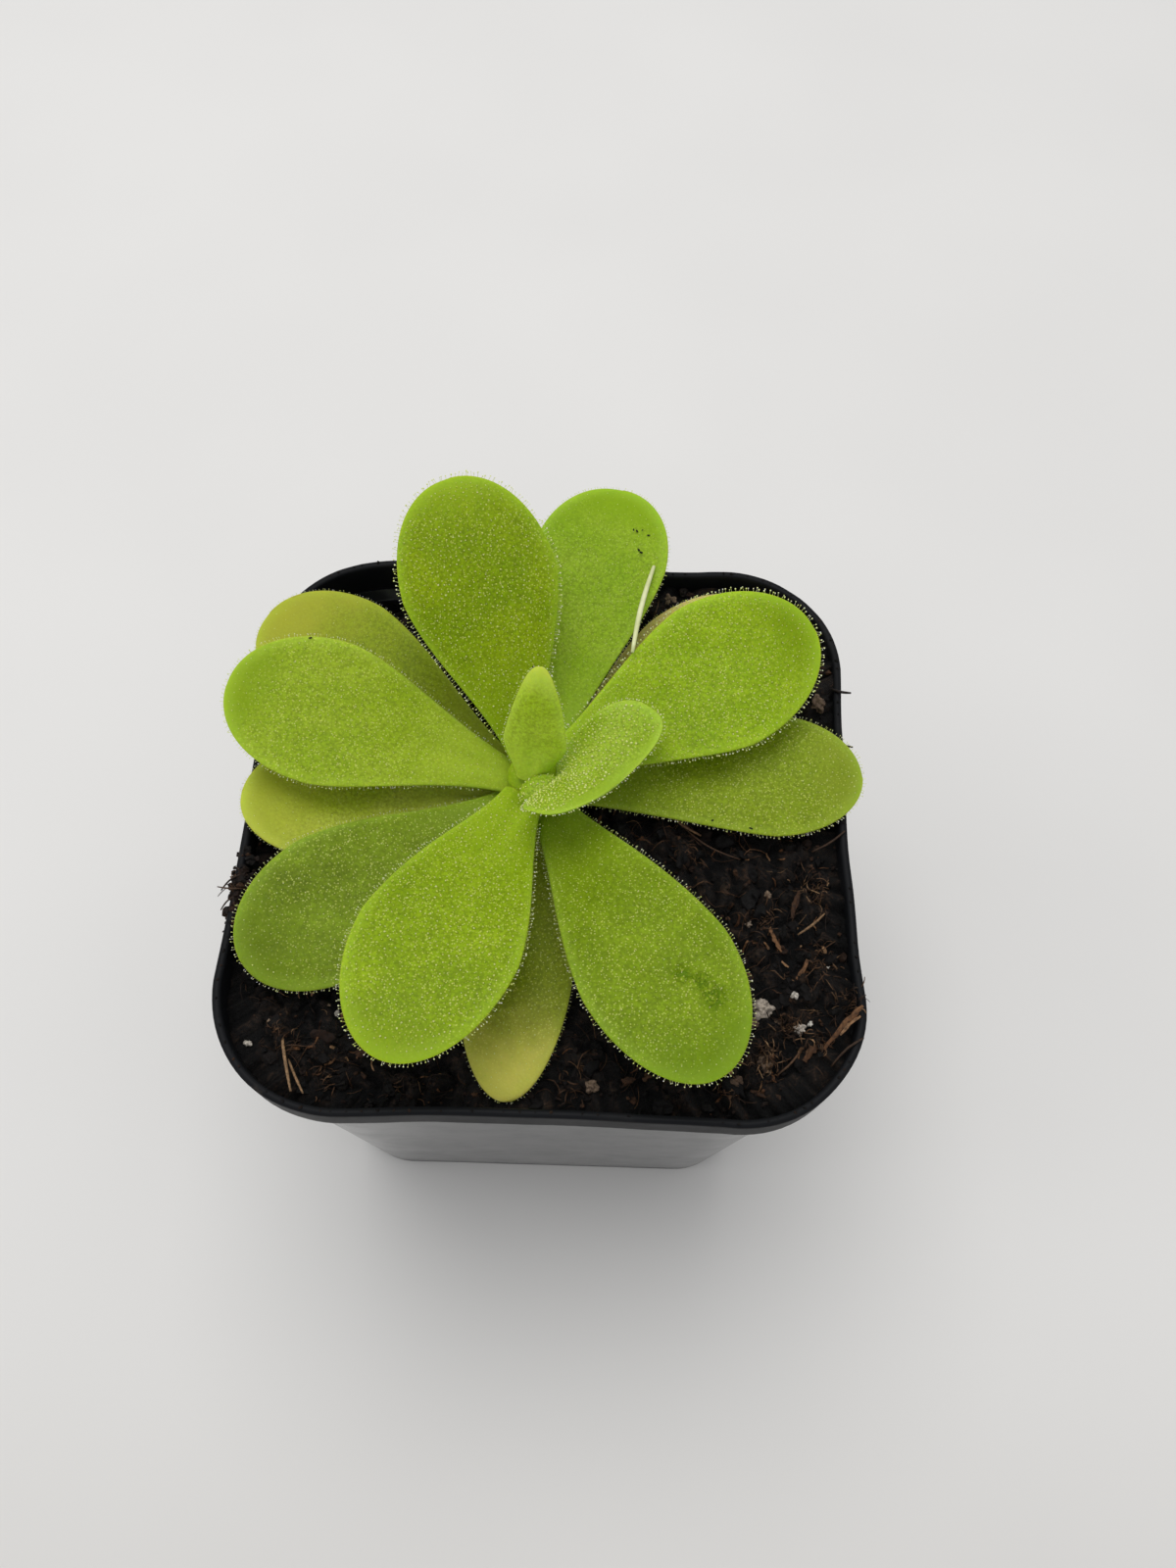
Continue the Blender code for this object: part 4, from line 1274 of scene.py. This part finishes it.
# Specks of soil on the leaves: leaf, share, side, radius in millimetres and tint.
SPECKS = (
    ("leaf_middle_back", 0.848, -0.47, 0.12, 0.7), ("leaf_middle_back", 0.842, -0.67, 0.11, 0.0),
    ("leaf_middle_back", 0.856, -0.56, 0.07, 0.3), ("leaf_middle_back", 0.782, -0.54, 0.13, 0.5),
    ("leaf_middle_back", 0.775, -0.58, 0.12, 0.4), ("leaf_middle_back", 0.850, -0.41, 0.09, 0.0),
    ("leaf_upper_back", 0.300, -0.62, 0.12, 0.0), ("leaf_middle_left", 0.782, -0.96, 0.13, 0.9),
    ("leaf_lower_right", 0.62, -0.93, 0.12, 0.0), ("leaf_lower_right", 0.50, -0.90, 0.10, 0.3),
)


def make_specks(material):
    """Specks of soil that lie on the leaves."""
    generator = np.random.default_rng(SPECK_SEED)
    shapes = []
    for number, (name, share, side, radius, tint) in enumerate(SPECKS):
        leaf = LEAVES[name]
        spine = leaf_spine(leaf)
        share, side = np.array([share]), np.array([side])
        place = blade_surface(leaf, spine, share, side, 1)
        normal = upper_normals(leaf, spine, share, side)
        axes = frames_along(normal, generator) * radius * MM
        axes[:, 0] *= 1.7
        axes[:, 2] *= 0.6
        shapes.append(stamp(broken_ball(2, 2.0 + number), place + 0.1 * MM * normal, axes, tint=tint))
    return make_piece("soil_specks", shapes, [material], smooth=False)


# ---------------------------------------------------------------- setting


def make_floor():
    mesh = bpy.data.meshes.new("floor")
    reach = 3.0
    mesh.from_pydata([(-reach, -reach, 0), (reach, -reach, 0), (reach, reach, 0), (-reach, reach, 0)],
                     [], [(0, 1, 2, 3)])
    mesh.materials.append(floor_finish())
    placed("floor", mesh)


def make_camera():
    data = bpy.data.cameras.new("camera")
    data.lens = CAMERA_LENS_MM
    data.sensor_width = CAMERA_SENSOR_MM
    data.clip_start = 0.01
    data.clip_end = 10.0
    camera = placed("camera", data)
    turn = Matrix((CAMERA_RIGHT, CAMERA_UP, CAMERA_BACK)).transposed()
    camera.matrix_world = Matrix.Translation(CAMERA_PLACE) @ turn.to_4x4()
    bpy.context.scene.camera = camera


def make_lamp(name, place, target, size, power, colour):
    data = bpy.data.lights.new(name, "AREA")
    data.shape = "DISK"
    data.size = size
    data.energy = power
    data.color = colour
    lamp = placed(name, data)
    lamp.location = place
    lamp.rotation_euler = (Vector(target) - Vector(place)).to_track_quat("-Z", "Y").to_euler()


def make_light():
    """Soft light from above and a little behind, in a pale room."""
    world = bpy.data.worlds.new("room")
    world.use_nodes = True
    background = world.node_tree.nodes["Background"]
    background.inputs["Color"].default_value = (0.985, 0.988, 1.0, 1.0)
    background.inputs["Strength"].default_value = 0.575
    bpy.context.scene.world = world
    make_lamp("softbox_above", (-0.08, 0.21, 0.92), (0, 0, 0.05), 0.65, 3.65, (1.0, 0.995, 0.98))
    make_lamp("softbox_left", (-0.75, -0.05, 0.55), (0, 0, 0.05), 0.5, 0.6, (1.0, 1.0, 1.0))
    bpy.context.scene.view_settings.view_transform = "Standard"


def main():
    make_pot(plastic_finish())
    make_soil(peat_finish())
    crumb_material = tinted_finish("peat_crumb")
    make_crumbs(crumb_material)
    make_fibres(tinted_finish("plant_fibre"))
    make_grains(tinted_finish("perlite"))
    make_chips(tinted_finish("bark"))
    make_specks(crumb_material)
    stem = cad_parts["stem_and_roots"]
    stem.data.materials.clear()
    stem.data.materials.append(stem_finish())
    wet_materials = (drop_finish("sticky_drop", DROP_COLOURS), drop_finish("margin_bead", BEAD_COLOURS))
    for number, (name, leaf) in enumerate(LEAVES.items()):
        make_leaf(number, name, leaf, wet_materials)
    make_floor()
    make_camera()
    make_light()


main()
